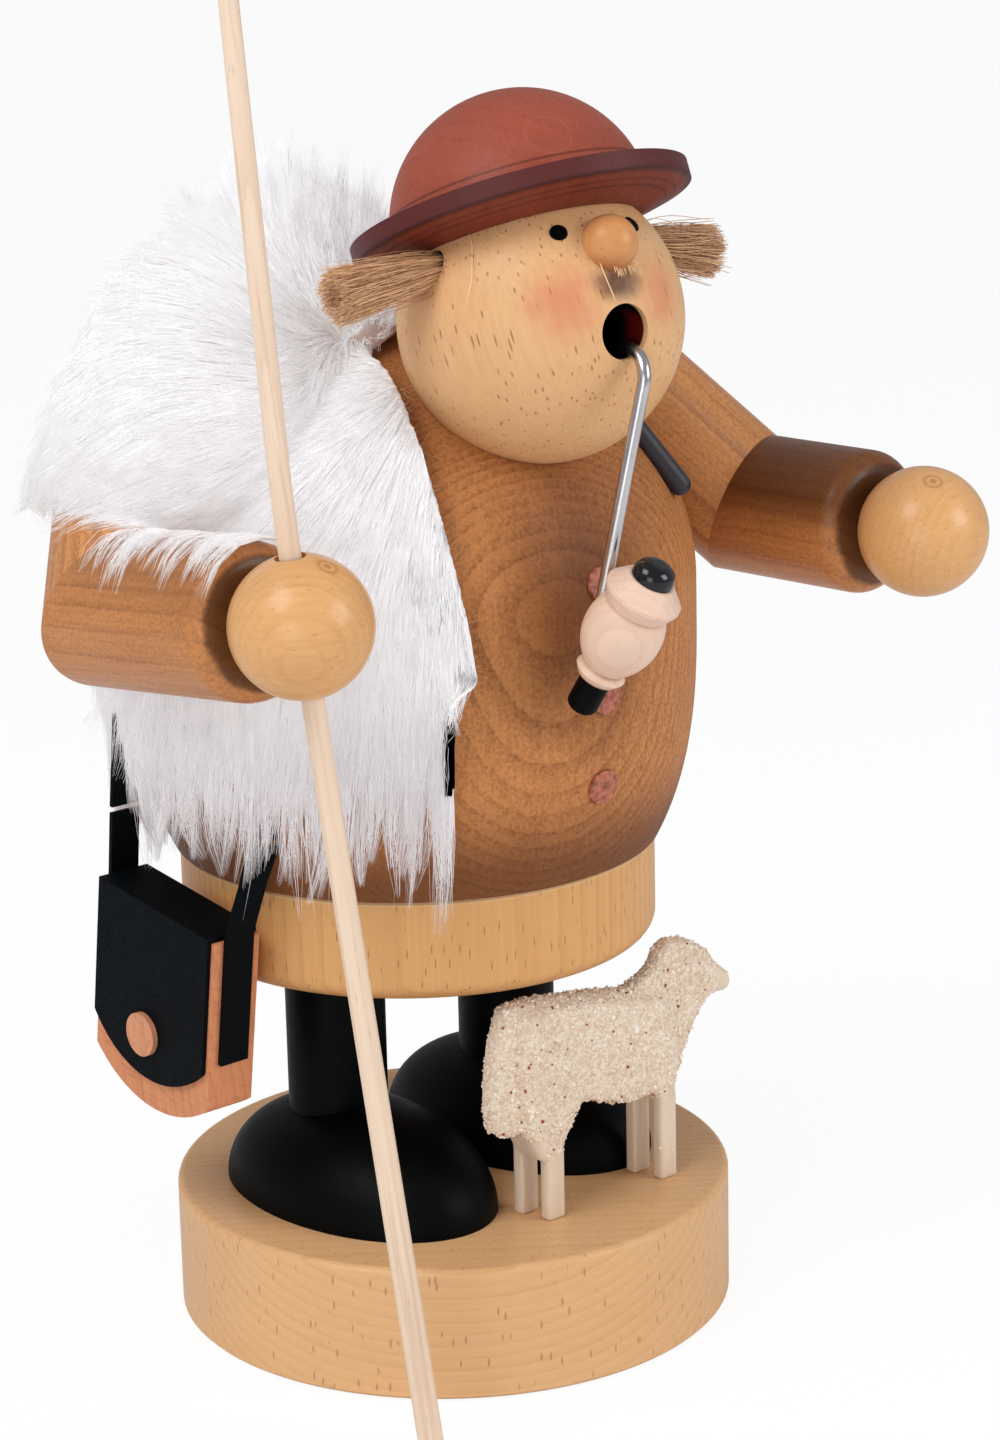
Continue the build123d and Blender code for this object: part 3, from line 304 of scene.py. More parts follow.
def timber(
    name, light, dark, fleck, at, turn, gap, rings=0.5, fibre=0.25, mottle=0.2, warp=1.0,
    warp_scale=28.0, edge=2.4, fleck_share=0.35, fleck_size=(0.0007, 0.0007, 0.004), fleck_wide=0.22,
    fleck_on=0.7, rough=0.42, coat=0.0, grain=0.00004, after=None, speckle=0.0,
):
    """Wood from growth rings about a pith: at is a point on the pith, and turn lays its Z along the
    fibre. gap is the rings' spacing; rings, fibre and mottle are the strengths of the three patterns.
    after gives what is stained or painted over the wood, as pairs of a mask and its colour."""
    paint = Finish(name)
    here = paint.place(at, turn)
    sway = paint.noise(paint.stretch(here, (1.0, 1.0, 0.12)), warp_scale)
    flat = paint.stretch(here, (1.0, 1.0, 0.0))
    reach = paint.node("ShaderNodeVectorMath", {"operation": "LENGTH"}, {0: flat}, "Value")
    year = reach / gap + (sway - 0.5) * (2.4 * warp)
    whole = paint.node("ShaderNodeMath", {"operation": "FLOOR"}, {0: year})
    phase = year - whole
    weather = paint.node("ShaderNodeTexWhiteNoise", {"noise_dimensions": "1D"}, {"W": whole}, "Value")
    late = (phase ** edge) * (1 - paint.step(phase, 0.93, 1.0))
    late = late * (0.45 + weather * 0.55)
    fine = paint.noise(paint.stretch(here, (1.0, 1.0, 0.035)), 1500.0, 2.0, 0.6)
    broad = paint.noise(paint.stretch(here, (1.0, 1.0, 0.3)), 55.0, 3.0, 0.55)
    shade = late * rings + (fine - 0.5) * fibre + (broad - 0.5) * mottle + 0.12
    if speckle:
        dots = paint.noise(here, 1700.0, 2.0, 0.6)
        shade = shade + (dots - 0.5) * speckle
    colour = paint.mix(shade, light, dark)
    seed = paint.node("ShaderNodeVectorMath", {"operation": "DIVIDE"}, {0: here, 1: fleck_size})
    nearest = paint.cells(seed, 1.0)
    luck = paint.parts(Sum(paint, nearest.socket.node.outputs["Color"]))[0]
    mark = paint.fade(nearest, fleck_wide * 0.45, fleck_wide)
    mark = mark * paint.step(luck, 1 - fleck_share, 1.03 - fleck_share) * fleck_on
    colour = paint.mix(mark, colour, fleck)
    relief = fine * 0.5 + late * 0.3 - mark * 0.6
    for mask, tint in after(paint) if after else ():
        colour = paint.mix(mask, colour, tint)
    return paint.surface(
        Base_Color=colour,
        Roughness=rough + (fine - 0.5) * 0.18 + mark * 0.12,
        Normal=paint.bump(relief, grain, 0.6),
        Coat_Weight=coat,
        Coat_Roughness=0.22,
        Specular_IOR_Level=0.2,
    )


def wooden(node, *wood, **patterns):
    """Dress a solid in a timber of its own."""
    dress(node, timber(*wood, **patterns))


wooden(
    "base_disc", "base_beech", tone(226, 180, 130), tone(198, 146, 94), tone(146, 86, 48),
    (0.0, -0.075, 0.052), (0, pi / 2, radians(-38)), 0.0019,
    rings=0.42, fibre=0.4, mottle=0.4, warp=0.9, fleck_share=0.8,
    fleck_size=(0.0044, 0.0009, 0.0012), fleck_on=0.5, rough=0.36, coat=0.1,
)

# Boots and legs
# Turned legs in round-toed boots, all sprayed with a black satin lacquer over beech. The
# boots are glued and dowelled to the base.

ink = Finish("black_lacquer")
ink_here = ink.place()
ink_soft = ink.noise(ink_here, 420.0, 3.0, 0.6)
ink_wave = ink.noise(ink_here, 60.0)
ink.surface(
    Base_Color=ink.mix(ink_wave, tone(1, 3, 4), tone(3, 5, 6)),
    Roughness=0.40 + ink_soft * 0.14,
    Normal=ink.bump(ink_soft, 0.00003, 0.5),
    Specular_IOR_Level=0.07,
)
for name in ("boot_right", "boot_left", "leg_right", "leg_left"):
    dress(name, ink.material)

# Dowels
# Plain beech pins with glue on them. They are hidden once the figure is put together.

wooden(
    "foot_dowels", "dowel_beech", tone(226, 184, 138), tone(196, 143, 95), tone(142, 86, 50),
    (0.01, 0.02, 0.0), (0, 0, 0), 0.0012, rough=0.6,
)
dowel_beech = nodes["foot_dowels"].data.materials[0]
for name in ("shoulder_dowels", "elbow_dowels", "wrist_dowels", "hat_dowel"):
    dress(name, dowel_beech)

# Waist ring
# The coat's hem: a turned ring of darker beech with a bright top edge. Its spigot carries
# the body, and two holes let air up to the incense cone.


def hem_edges(paint):
    """A lighter line along the ring's upper edge, and darker low down."""
    height = paint.height()
    yield paint.band(height, 0.0758, 0.0763, 0.0767, 0.0772) * 0.8, tone(244, 208, 160)
    yield paint.fade(height, 0.0603, 0.0632) * 0.35, tone(150, 98, 60)


wooden(
    "waist_ring", "ring_beech", tone(222, 168, 108), tone(190, 132, 76), tone(116, 66, 34),
    (0.06, 0.11, 0.0), (0, 0, 0), 0.0016, rings=0.5, fibre=0.45, mottle=0.35, fleck_share=0.8,
    fleck_size=(0.00062, 0.00062, 0.0050), fleck_on=0.6, coat=0.06,
    after=hem_edges,
)

# Incense tray
# A pressed tin dish in the ring's top, held by one countersunk steel nail. Smoke has
# left a brown bloom on it.

tin = Finish("tray_tin")
tin_here = tin.place((0, 0.0067, 0.0))
tin_x, tin_y, _ = tin.parts(tin_here)
tin_rim = (tin_x * tin_x + tin_y * tin_y) ** 0.5
tin_soot = tin.noise(tin_here, 260.0, 4.0, 0.6)
tin_turned = tin.noise(tin.node("ShaderNodeCombineXYZ", None, {0: tin_rim * 40.0}), 60.0, 3.0, 0.6)
tin.surface(
    Base_Color=tin.mix(tin.step(tin_soot, 0.42, 0.72), tone(198, 199, 200), tone(108, 84, 60)),
    Metallic=1.0,
    Roughness=0.32 + tin_soot * 0.25,
    Normal=tin.bump(tin_turned, 0.00003, 0.7),
)
dress("incense_tray", tin.material)

nail_steel = plain(
    "nail_steel", (2200.0, 3.0, 0.7), (tone(150, 150, 152), tone(205, 205, 206)), 0.28, 0.2, 0.00001, 0.6,
    size=(1, 6, 1), Metallic=1.0,
)
dress("tray_nail", nail_steel)

# Body
# The hollow coat body, turned from one flat-sawn blank and sprayed walnut brown. Its belly
# cuts the growth rings into tall ovals, and it is darker at the chin, at the foot and behind the pipe.


def coat_darkening(paint):
    """Darker near the top, low down and in a tall oval on the front behind the pipe."""
    here, height = paint.place(), paint.height()
    cloud = paint.noise(here, 38.0, 3.0, 0.55)
    yield paint.step(height + cloud * 0.012, 0.122, 0.146) * 0.22, tone(96, 50, 22)
    yield paint.fade(height + cloud * 0.006, 0.082, 0.098) * 0.78, tone(90, 44, 18)
    heart = paint.distance(paint.stretch(here, (1.0, 1.0, 0.62)), (-0.002, -0.039, 0.123 * 0.62))
    yield paint.fade(heart + cloud * 0.010, 0.006, 0.026) * 0.78, tone(84, 38, 14)


COAT, COAT_DARK, COAT_PORE = tone(202, 135, 80), tone(108, 57, 26), tone(66, 32, 12)
wooden(
    "body_barrel", "coat_body", COAT, COAT_DARK, COAT_PORE,
    (0.022, 0.120, 0.115), (radians(-4.6), radians(0.5), 0), 0.00092,
    rings=0.44, fibre=0.55, mottle=0.55, warp=0.75, warp_scale=30.0, edge=1.8, fleck_share=0.28,
    fleck_size=(0.0005, 0.0005, 0.0022), fleck_wide=0.2, fleck_on=0.35, rough=0.56,
    speckle=1.3, after=coat_darkening,
)

# Arms
# Upper arms and forearms sawn and turned from stained rods, glued on dowels at a mitre. The
# forearms' ends are nearly black-brown, and their upper sides carry painted shade.

HEAD = Vector((0, -0.0254, 0.1627))
HANDS = {"right": Vector((-0.0592, -0.0408, 0.1288)), "left": Vector((0.0592, -0.0485, 0.1244))}
ELBOWS = {"right": Vector((-0.0574, 0.0044, 0.1232)), "left": Vector((0.0580, -0.0104, 0.1239))}
ARM_RISE = {"right": (34.5, 42.0), "left": (42.5, 46.5)}


def along(direction):
    """The turn that lays a pattern's Z along a direction."""
    return tuple(direction.to_track_quat("Z", "Y").to_euler())


def cuff(hand, way):
    """A forearm's colour: its dished hand end is much darker, and its upper side is darker as painted shade,
    most on the left forearm.
    """

    def shade_and_dark_end(paint):
        here = paint.place(tuple(hand), along(way))
        # Painted shade: the forearm's upper side is darkened, strongest on the left forearm.
        upper = paint.step(paint.height(), hand.z - 0.002, hand.z + 0.005)
        yield upper * (0.78 if hand.x > 0 else 0.3), tone(84, 40, 16)
        end = paint.parts(here)[2] + paint.noise(here, 160.0) * 0.0008
        yield paint.step(end, -0.0094, -0.0088) * 0.8, tone(62, 32, 12)

    return shade_and_dark_end


for side in ("right", "left"):
    way = (HANDS[side] - ELBOWS[side]).normalized()
    wooden(
        f"forearm_{side}", f"coat_forearm_{side}", tone(200, 134, 80), COAT_DARK, COAT_PORE,
        tuple(ELBOWS[side] + Vector((0.004, 0.02, 0.016))), along(way), 0.0027,
        rings=0.30, fibre=0.6, mottle=0.5, warp=1.3, edge=3.0, fleck_share=0.3,
        fleck_size=(0.0005, 0.0005, 0.0024), fleck_wide=0.2, fleck_on=0.4, rough=0.36, coat=0.08,
        speckle=0.9, after=cuff(HANDS[side], way),
    )
    rise, out = (radians(a) for a in ARM_RISE[side])
    side_sign = -1 if side == "right" else 1
    upper = Vector((side_sign * cos(rise) * sin(out), -cos(rise) * cos(out), -sin(rise)))
    wooden(
        f"upper_arm_{side}", f"coat_upper_arm_{side}", tone(216, 148, 90), COAT_DARK, COAT_PORE,
        tuple(ELBOWS[side] + Vector((0.010, 0.03, 0.01))), along(upper), 0.0025,
        rings=0.36, fibre=0.6, mottle=0.45, warp=1.2, edge=2.6, fleck_share=0.3,
        fleck_size=(0.0005, 0.0005, 0.0024), fleck_wide=0.2, fleck_on=0.4, rough=0.36, coat=0.08,
        speckle=0.9,
    )

# Buttons and toggle
# Three plugs of red-brown wood glued into the front of the coat, darker in patches, and a
# small dark toggle lying on the coat under the chin.

plug = Finish("button_wood")
plug_here = plug.place()
plug_cloud = plug.noise(plug_here, 900.0, 3.0, 0.6)
plug_grain = plug.noise(plug.stretch(plug_here, (1, 1, 0.2)), 1500.0)
plug.surface(
    Base_Color=plug.mix(plug.step(plug_cloud, 0.35, 0.7), tone(190, 108, 80), tone(118, 58, 44)),
    Roughness=0.4 + plug_grain * 0.2,
    Normal=plug.bump(plug_grain, 0.00008, 0.8),
)
dress("coat_buttons", plug.material)

toggle_paint = plain(
    "toggle_paint", (500.0, 3.0, 0.6), (tone(22, 18, 26), tone(44, 40, 50)), 0.4, 0.2, 0.00004, 0.6
)
dress("coat_toggle", toggle_paint)

# Head
# A ball of pale beech, its fibre standing upright, with blushed cheeks sprayed on. The mouth
# is bored and smoked black inside, with some red paint left on its right wall.


def face_paint(paint):
    """Two cheeks, soot between nose and mouth, the mouth's lighter rim and its bore."""
    here = paint.place()
    cloud = paint.noise(here, 240.0, 3.0, 0.6)
    for spot, size, strength in (
        ((-0.0112, -0.0430, 0.1684), 0.0080, 0.60),
        ((0.0058, -0.0450, 0.1682), 0.0070, 0.55),
    ):
        away = paint.distance(here, spot) + (cloud - 0.5) * 0.006
        yield paint.step(away, size * 0.08, size, strength, 0.0), tone(212, 118, 88)
    soot = paint.distance(paint.stretch(here, (1.0, 1.0, 1.5)), (-0.0026, -0.0453, 0.1704 * 1.5))
    yield paint.step(soot + (cloud - 0.5) * 0.003, 0.0010, 0.0058, 0.92, 0.0), tone(84, 46, 24)
    middle = paint.distance(here, tuple(HEAD))
    bore = paint.fade(middle, 0.0203, 0.0207)
    yield paint.fade(middle, 0.0206, 0.0212) * (1 - bore) * 0.7, tone(232, 186, 130)
    red = paint.step(paint.parts(here)[0], 0.0006, 0.0024) * paint.step(middle, 0.0150, 0.0185)
    yield bore, paint.mix(red, tone(7, 5, 5), tone(112, 22, 16))


wooden(
    "head_ball", "head_beech", tone(228, 180, 130), tone(202, 148, 96), tone(140, 82, 46),
    (0.055, 0.06, 0.16), (radians(-14), radians(-9), 0), 0.0019,
    rings=0.12, fibre=0.8, mottle=0.5, warp=1.2, fleck_share=0.9,
    fleck_size=(0.00092, 0.00092, 0.0066), fleck_wide=0.23, fleck_on=0.66, rough=0.44, coat=0.04,
    after=face_paint,
)
dress("neck_bush", dowel_beech)

# Nose and eyes
# A turned knob on a peg for the nose, a shade browner than the head, and two black-lacquered
# pegs for eyes. Each is glued into a bored socket.

NOSE_WAY, NOSE_OUT = Vector((-0.0935, -0.7963, 0.5976)), 0.0225
NOSE = HEAD + NOSE_WAY * NOSE_OUT


def nose_painted_shade(paint):
    """Painted shade: the nose's underside is darker."""
    yield paint.fade(paint.height(), NOSE.z - 0.0048, NOSE.z - 0.0005) * 0.6, tone(146, 78, 36)


wooden(
    "nose", "nose_beech", tone(214, 150, 94), tone(184, 116, 64), tone(140, 80, 42),
    tuple(NOSE + Vector((0.01, 0.012, 0.0))), (radians(-14), radians(6), 0), 0.0014,
    rings=0.35, fibre=0.25, mottle=0.3, fleck_share=0.3, fleck_size=(0.0007, 0.0007, 0.0024),
    fleck_on=0.4, rough=0.38, coat=0.15, after=nose_painted_shade,
)
dress("eye_pegs", ink.material)

# Hat
# A turned brim and a turned half-ball crown, stained red-brown and joined by a dowel. Fine
# grooves run round the join, and the stain is darker on the brim's edges.

HEAD_TURN, HAT_BACK, HAT_SIDE = radians(6.7), radians(23.1), radians(1.1)
FACE = Vector((-sin(HEAD_TURN), -cos(HEAD_TURN), 0))
EAR = Vector((cos(HEAD_TURN), -sin(HEAD_TURN), 0))
hat_back = UP * cos(HAT_BACK) - FACE * sin(HAT_BACK)
HAT = (hat_back - EAR * sin(HAT_SIDE)).normalized()
hat_front = (FACE - HAT * FACE.dot(HAT)).normalized()
HAT_FOOT = HEAD + (hat_front * 1.35 + EAR * 0.5) * MM
HAT_TURN = tuple(Matrix((hat_front, HAT.cross(hat_front), HAT)).transposed().to_euler())


def hat_lines(paint):
    """Grooves at the crown's foot and on the brim, dark brim edges and a faint round mark."""
    x, y, z = paint.parts(paint.place(tuple(HAT_FOOT), HAT_TURN))
    out = (x * x + y * y) ** 0.5
    for at, wide, strength in ((0.01765, 0.00075, 0.95), (0.01935, 0.00035, 0.55), (0.0143, 0.0005, 0.8)):
        yield paint.line(z, at, wide) * strength * paint.step(out, 0.0150, 0.0160), tone(40, 16, 14)
    for at, wide in ((0.0216, 0.00045), (0.0232, 0.0004)):
        yield paint.line(out, at, wide) * 0.55, tone(52, 22, 20)
    yield paint.step(out, 0.0250, 0.0257) * 0.72, tone(72, 34, 38)
    mark = paint.distance(paint.place(), (-0.0048, -0.0330, 0.1908))
    yield paint.band(mark, 0.0031, 0.0034, 0.0034, 0.0038) * 0.14, tone(190, 112, 92)


for name, light, dark, seed in (
    ("hat_crown", tone(166, 82, 62), tone(116, 50, 38), 0.05),
    ("hat_brim", tone(128, 56, 40), tone(80, 32, 24), 0.02),
):
    wooden(
        name, f"{name}_wood", light, dark, tone(70, 30, 24),
        tuple(HAT_FOOT + Vector((0.05, 0.03, seed))), (HAT_TURN[0], HAT_TURN[1] + pi / 2, HAT_TURN[2]),
        0.0034, rings=0.14, fibre=0.40, mottle=0.75, warp=1.6, fleck_share=0.30,
        fleck_size=(0.0006, 0.0006, 0.0020), fleck_on=0.3, rough=0.5, coat=0.02, speckle=0.5,
        after=hat_lines,
    )

# Hair
# Two tufts of flax, each bundled, pushed with glue into a hole beside the head and cut off
# square at its end. Loose fibres stand out from them and a few lie on the face.

chance = np.random.default_rng(7)


def fibre_form(steps):
    """A three-sided strand of unit size from z = 0 to z = steps, closed at both ends."""
    form = bmesh.new()
    bmesh.ops.create_circle(form, cap_ends=True, segments=3, radius=1.0)
    last = form.faces[:]
    for _ in range(steps):
        grown = bmesh.ops.extrude_face_region(form, geom=last)["geom"]
        last = [g for g in grown if isinstance(g, bmesh.types.BMFace)]
        bmesh.ops.translate(form, verts=list({v for f in last for v in f.verts}), vec=(0, 0, 1))
    lost = [f for f in form.faces if len(f.verts) == 3 and all(0 < v.co.z < steps for v in f.verts)]
    bmesh.ops.delete(form, geom=lost, context="FACES_ONLY")
    bmesh.ops.recalc_face_normals(form, faces=form.faces)
    bmesh.ops.triangulate(form, faces=form.faces)
    form.verts.ensure_lookup_table()
    corners = np.array([v.co for v in form.verts])
    faces = np.array([[v.index for v in f.verts] for f in form.faces])
    form.free()
    return corners, faces


def unit(vectors):
    return vectors / (np.linalg.norm(vectors, axis=-1, keepdims=True) + 1e-12)


def strewn(name, corners, faces, shades, material, body):
    """One piece from many copies of a small form. corners is (copy, corner, xyz), shades (copy, corner)."""
    mesh = bpy.data.meshes.new(name)
    shift = (np.arange(len(corners)) * corners.shape[1])[:, None, None]
    mesh.from_pydata(corners.reshape(-1, 3), [], (faces[None] + shift).reshape(-1, 3))
    held = mesh.attributes.new("shade", "FLOAT", "POINT")
    held.data.foreach_set("value", shades.astype(np.float32).ravel())
    piece = placed(name, mesh)
    mesh.materials.append(material)
    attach(piece, body)
    return piece


def grow(name, lines, thick, shades, material, body, point=0.12, most=7400):
    """Strands along lines, an array of (strand, station, xyz), as one piece or several. Each is
    three-sided, tapers to a share of its thickness and carries its own shade as an attribute."""
    corners, faces = fibre_form(lines.shape[1] - 1)
    level = np.rint(corners[:, 2]).astype(int)
    share = np.linspace(0, 1, lines.shape[1])
    taper = 1 - (1 - point) * share**1.6
    pieces = []
    for first in range(0, len(lines), most):
        some, wide, shade = lines[first:first + most], thick[first:first + most], shades[first:first + most]
        heading = unit(np.gradient(some, axis=1))
        aside = unit(np.cross(heading, np.array([0.31, 0.21, 0.93])))
        across = np.cross(heading, aside)
        size = (wide[:, None] * taper[None, :])[:, level]
        spots = (
            some[:, level]
            + aside[:, level] * (corners[:, 0][None, :] * size)[..., None]
            + across[:, level] * (corners[:, 1][None, :] * size)[..., None]
        )
        # Painted shade: each strand is darker at its root and lighter toward its tip, as shade deep in the
        # hair.
        tint = shade[:, None] + 0.12 * share[level][None, :]
        piece_name = name if first == 0 else f"{name}_{first // most + 1}"
        piece = strewn(piece_name, spots, faces, tint, material, body)
        piece.data.shade_smooth()
        pieces.append(piece)
    return pieces


flax = Finish("flax")
flax_shade = flax.shade()
flax_here = flax.noise(flax.place(), 1400.0)
flax.surface(
    Base_Color=flax.mix(flax_shade + (flax_here - 0.5) * 0.2, tone(160, 96, 62), tone(252, 208, 158)),
    Roughness=0.42 + flax_here * 0.15,
)

TUFT_LEVEL, TUFT_FROM, TUFT_DROOP, TUFT_REACH = 9.5, 17.0, 2.2, {"right": 36.2, "left": 32.2}
TUFT_ROOT, TUFT_END, TUFT_HAIRS = 1.9, 3.9, 1300


def tuft(side, sign):
    """A bundle from its socket to a square-cut end, slightly fanned, with stray fibres."""
    level = HEAD + UP * TUFT_LEVEL * MM
    start = level + EAR * sign * TUFT_FROM * MM
    end = level + EAR * sign * TUFT_REACH[side] * MM - UP * TUFT_DROOP * MM
    count = TUFT_HAIRS
    axis = (end - start).normalized()
    one = np.array(axis.orthogonal().normalized())
    two = np.cross(np.array(axis), one)
    turn = chance.uniform(0, 2 * pi, count)
    ray = np.sqrt(chance.uniform(0, 1, count))
    share = np.linspace(0, 1, 7)
    fan = TUFT_ROOT + (TUFT_END - TUFT_ROOT) * share[None, :] ** 0.8
    wave = chance.normal(0, 0.45, (count, 2))
    long = chance.uniform(0.95, 1.03, count)
    stray = chance.uniform(0, 1, count) > 0.95
    ray = ray * np.where(stray, 1.35, 1.0)
    long = long * np.where(stray, chance.uniform(0.7, 1.05, count), 1.0)
    ease = np.sin(share[None, :] * pi * chance.uniform(0.8, 2.2, (count, 1)))
    off_one = (ray * np.cos(turn))[:, None] * fan + wave[:, :1] * ease
    off_two = (ray * np.sin(turn))[:, None] * fan + wave[:, 1:] * ease
    run = np.array(end - start)[None, None, :] * (share[None, :, None] * long[:, None, None])
    lines = np.array(start)[None, None, :] + run + (off_one[..., None] * one + off_two[..., None] * two) * MM
    lines[..., 2] -= (0.6 * MM) * share[None, :] ** 2 * chance.uniform(0, 1, (count, 1))
    thick = chance.uniform(0.045, 0.08, count) * MM
    # Painted shade: fibres in the bundle's core are darker, as shade inside the tuft.
    shades = chance.beta(1.4, 1.2, count) - 0.3 * (ray < 0.5)
    piece = grow(f"tuft_{side}", lines, thick, shades, flax.material, "figure", point=0.8)[0]
    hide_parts(f"hair_{side}")


tuft("right", -1)
tuft("left", 1)

stray_runs = [
    [
        (-5.7, -42.1, 176.2), (-5.0, -43.3, 174.6), (-5.2, -45.0, 172.0),
        (-4.9, -46.3, 169.4), (-4.7, -47.0, 167.8),
    ],
    [
        (-15.6, -27.0, 178.6), (-16.9, -29.8, 176.0), (-19.4, -32.4, 171.6),
        (-20.8, -32.8, 168.2), (-21.6, -31.4, 165.2),
    ],
    [
        (-13.2, -29.2, 180.0), (-13.6, -31.0, 178.8), (-14.4, -32.6, 177.4),
        (-13.2, -34.0, 177.0), (-12.2, -33.6, 177.9),
    ],
]
for step in range(-7, 8):
    start = Vector((-1.7 + step * 0.28, -44.9 - 0.08 * abs(step), 172.6 + 0.05 * abs(step)))
    drop = Vector((chance.normal(0, 0.25), -0.55, -chance.uniform(0.9, 1.7)))
    stray_runs.append([tuple(start + drop * k / 4) for k in range(5)])
lines = np.array(stray_runs) * MM
thick = np.full(len(lines), 0.10 * MM)
thick[:2] = 0.15 * MM, 0.08 * MM
grow("face_fibres", lines, thick, np.full(len(lines), 0.9), flax.material, "figure", point=0.6)

# Hands
# Turned beech balls, glued into the dished ends of the forearms. The plugged centre hole of
# the lathe shows as a small ring on top of each, and the right one is bored for the staff.


def palm(spot):
    """The ring and the dot of the plugged centre hole."""

    def marks(paint):
        away = paint.distance(paint.place(), spot)
        yield paint.band(away, 0.0009, 0.0012, 0.0014, 0.0019) * 0.5, tone(176, 112, 66)
        yield paint.fade(away, 0.0004, 0.0008) * 0.5, tone(140, 82, 46)

    return marks


for side, spot in (("right", (-0.0580, -0.0455, 0.1377)), ("left", (0.0566, -0.0528, 0.1335))):
    wooden(
        f"hand_{side}", f"hand_beech_{side}", tone(224, 170, 112), tone(184, 124, 70), tone(138, 80, 42),
        tuple(HANDS[side] + Vector((0.02, 0.03, 0.008))),
        (radians(8), pi / 2, radians(-30 if side == "right" else 15)), 0.0013,
        rings=0.20, fibre=0.55, mottle=0.5, warp=1.3, fleck_share=0.5,
        fleck_size=(0.0007, 0.0007, 0.0036), fleck_on=0.3, rough=0.34, coat=0.3, after=palm(spot),
    )

# Staff
# A long whittled stick of pale split wood, leaning in the bored right hand with its foot on
# the table. It tapers upwards, and its fibre runs its whole length.

STAFF_FOOT = Vector((-0.0435, -0.0450, 0.0))
STAFF_WAY = Vector((-0.120935, 0.032352, 0.992133))


def stick_marks(paint):
    """Long darker streaks, and a few patches."""
    here = paint.place(tuple(STAFF_FOOT), along(STAFF_WAY))
    streak = paint.noise(paint.stretch(here, (1, 1, 0.02)), 900.0, 3.0, 0.6)
    patch = paint.noise(paint.stretch(here, (1, 1, 0.35)), 70.0)
    yield paint.step(streak, 0.52, 0.7) * 0.35, tone(196, 156, 122)
    yield paint.step(patch, 0.55, 0.75) * 0.25, tone(206, 168, 134)


wooden(
    "staff", "stick_wood", tone(238, 214, 190), tone(218, 184, 152), tone(176, 132, 100),
    tuple(STAFF_FOOT + Vector((0.006, 0.004, 0))), along(STAFF_WAY), 0.0011, rings=0.4, fibre=0.45,
    mottle=0.25, warp=0.5, fleck_share=0.15, fleck_size=(0.0004, 0.0004, 0.005), fleck_on=0.5,
    rough=0.5, grain=0.00006, after=stick_marks,
)

# Pipe
# A nickel-plated wire bent from the mouth to a small bowl turned from pinkish maple. The
# domed lid is dipped in gloss black, and the foot peg in the boots' satin lacquer.

wire = Finish("nickel_wire")
wire_draw = wire.noise(wire.place((0, 0, 0), (0, 0, 0), (1, 1, 8)), 2600.0, 3.0, 0.6)
wire_dull = wire.noise(wire.place(), 180.0)
wire.surface(
    Base_Color=wire.mix(wire_dull, tone(176, 172, 172), tone(214, 211, 212)),
    Metallic=1.0,
    Roughness=0.16 + wire_dull * 0.14,
    Normal=wire.bump(wire_draw, 0.000008, 0.5),
)
dress("pipe_stem", wire.material)

BOWL_FOOT = Vector((-0.0085, -0.0419, 0.1075))
BOWL_WAY = Vector((3.5, -13.4, 22.7)).normalized()


def bowl_bands(paint):
    """Thin darker lines where the turning tool cut in, at the collar, waist and rim."""
    up = paint.parts(paint.place(tuple(BOWL_FOOT), along(BOWL_WAY)))[2]
    for at, wide, strength in ((0.0083, 0.0005, 0.5), (0.0194, 0.0005, 0.35), (0.0064, 0.0004, 0.5)):
        yield paint.line(up, at, wide) * strength, tone(168, 108, 84)


wooden(
    "pipe_bowl", "bowl_maple", tone(234, 202, 180), tone(212, 172, 148), tone(178, 126, 100),
    tuple(BOWL_FOOT + Vector((0.012, 0.012, 0))), along(BOWL_WAY), 0.0012, rings=0.35, fibre=0.3,
    mottle=0.25, fleck_share=0.3, fleck_size=(0.0004, 0.0004, 0.0014), fleck_on=0.35, rough=0.42,
    coat=0.1, after=bowl_bands,
)

gloss_black = plain(
    "gloss_black", (300.0,), (tone(7, 8, 10), tone(16, 18, 22)), 0.12, 0.08, 0.00002, 0.4,
    Specular_IOR_Level=0.3, Coat_Weight=0.3, Coat_Roughness=0.06,
)
dress("pipe_lid", gloss_black)
dress("pipe_foot", ink.material)

# Bag
# A sawn block of red-brown hardwood as the shepherd's bag. A flap of thin black leather is
# glued over its top and outer face and held by a small wooden disc.

BAG_TILT = radians(-8)


def sawn(paint):
    """Saw marks across the block."""
    here = paint.place(turn=(-BAG_TILT, 0, 0))
    teeth = paint.noise(paint.stretch(here, (0.2, 0.2, 1.0)), 900.0)
    yield paint.step(teeth, 0.5, 0.75) * 0.3, tone(150, 84, 54)


wooden(
    "bag_block", "bag_wood", tone(216, 144, 102), tone(176, 104, 68), tone(110, 56, 34),
    (-0.075, 0.03, 0.06), (BAG_TILT, 0, 0), 0.0014, rings=0.5, fibre=0.6, mottle=0.3, warp=0.6,
    fleck_share=0.35, fleck_size=(0.0004, 0.0004, 0.0030), fleck_on=0.45, rough=0.55, grain=0.00008,
    after=sawn,
)


def disc_cloud(paint):
    """Uneven darker patches."""
    cloud = paint.noise(paint.place((-0.0495, 0.0, 0.0)), 700.0)
    yield paint.step(cloud, 0.5, 0.75) * 0.3, tone(160, 92, 64)


wooden(
    "bag_button", "disc_wood", tone(216, 152, 114), tone(182, 116, 82), tone(120, 68, 44),
    (-0.075, 0.02, 0.05), (BAG_TILT, 0, 0), 0.0011, rings=0.4, fibre=0.4, mottle=0.3,
    fleck_on=0.3, rough=0.5, after=disc_cloud,
)

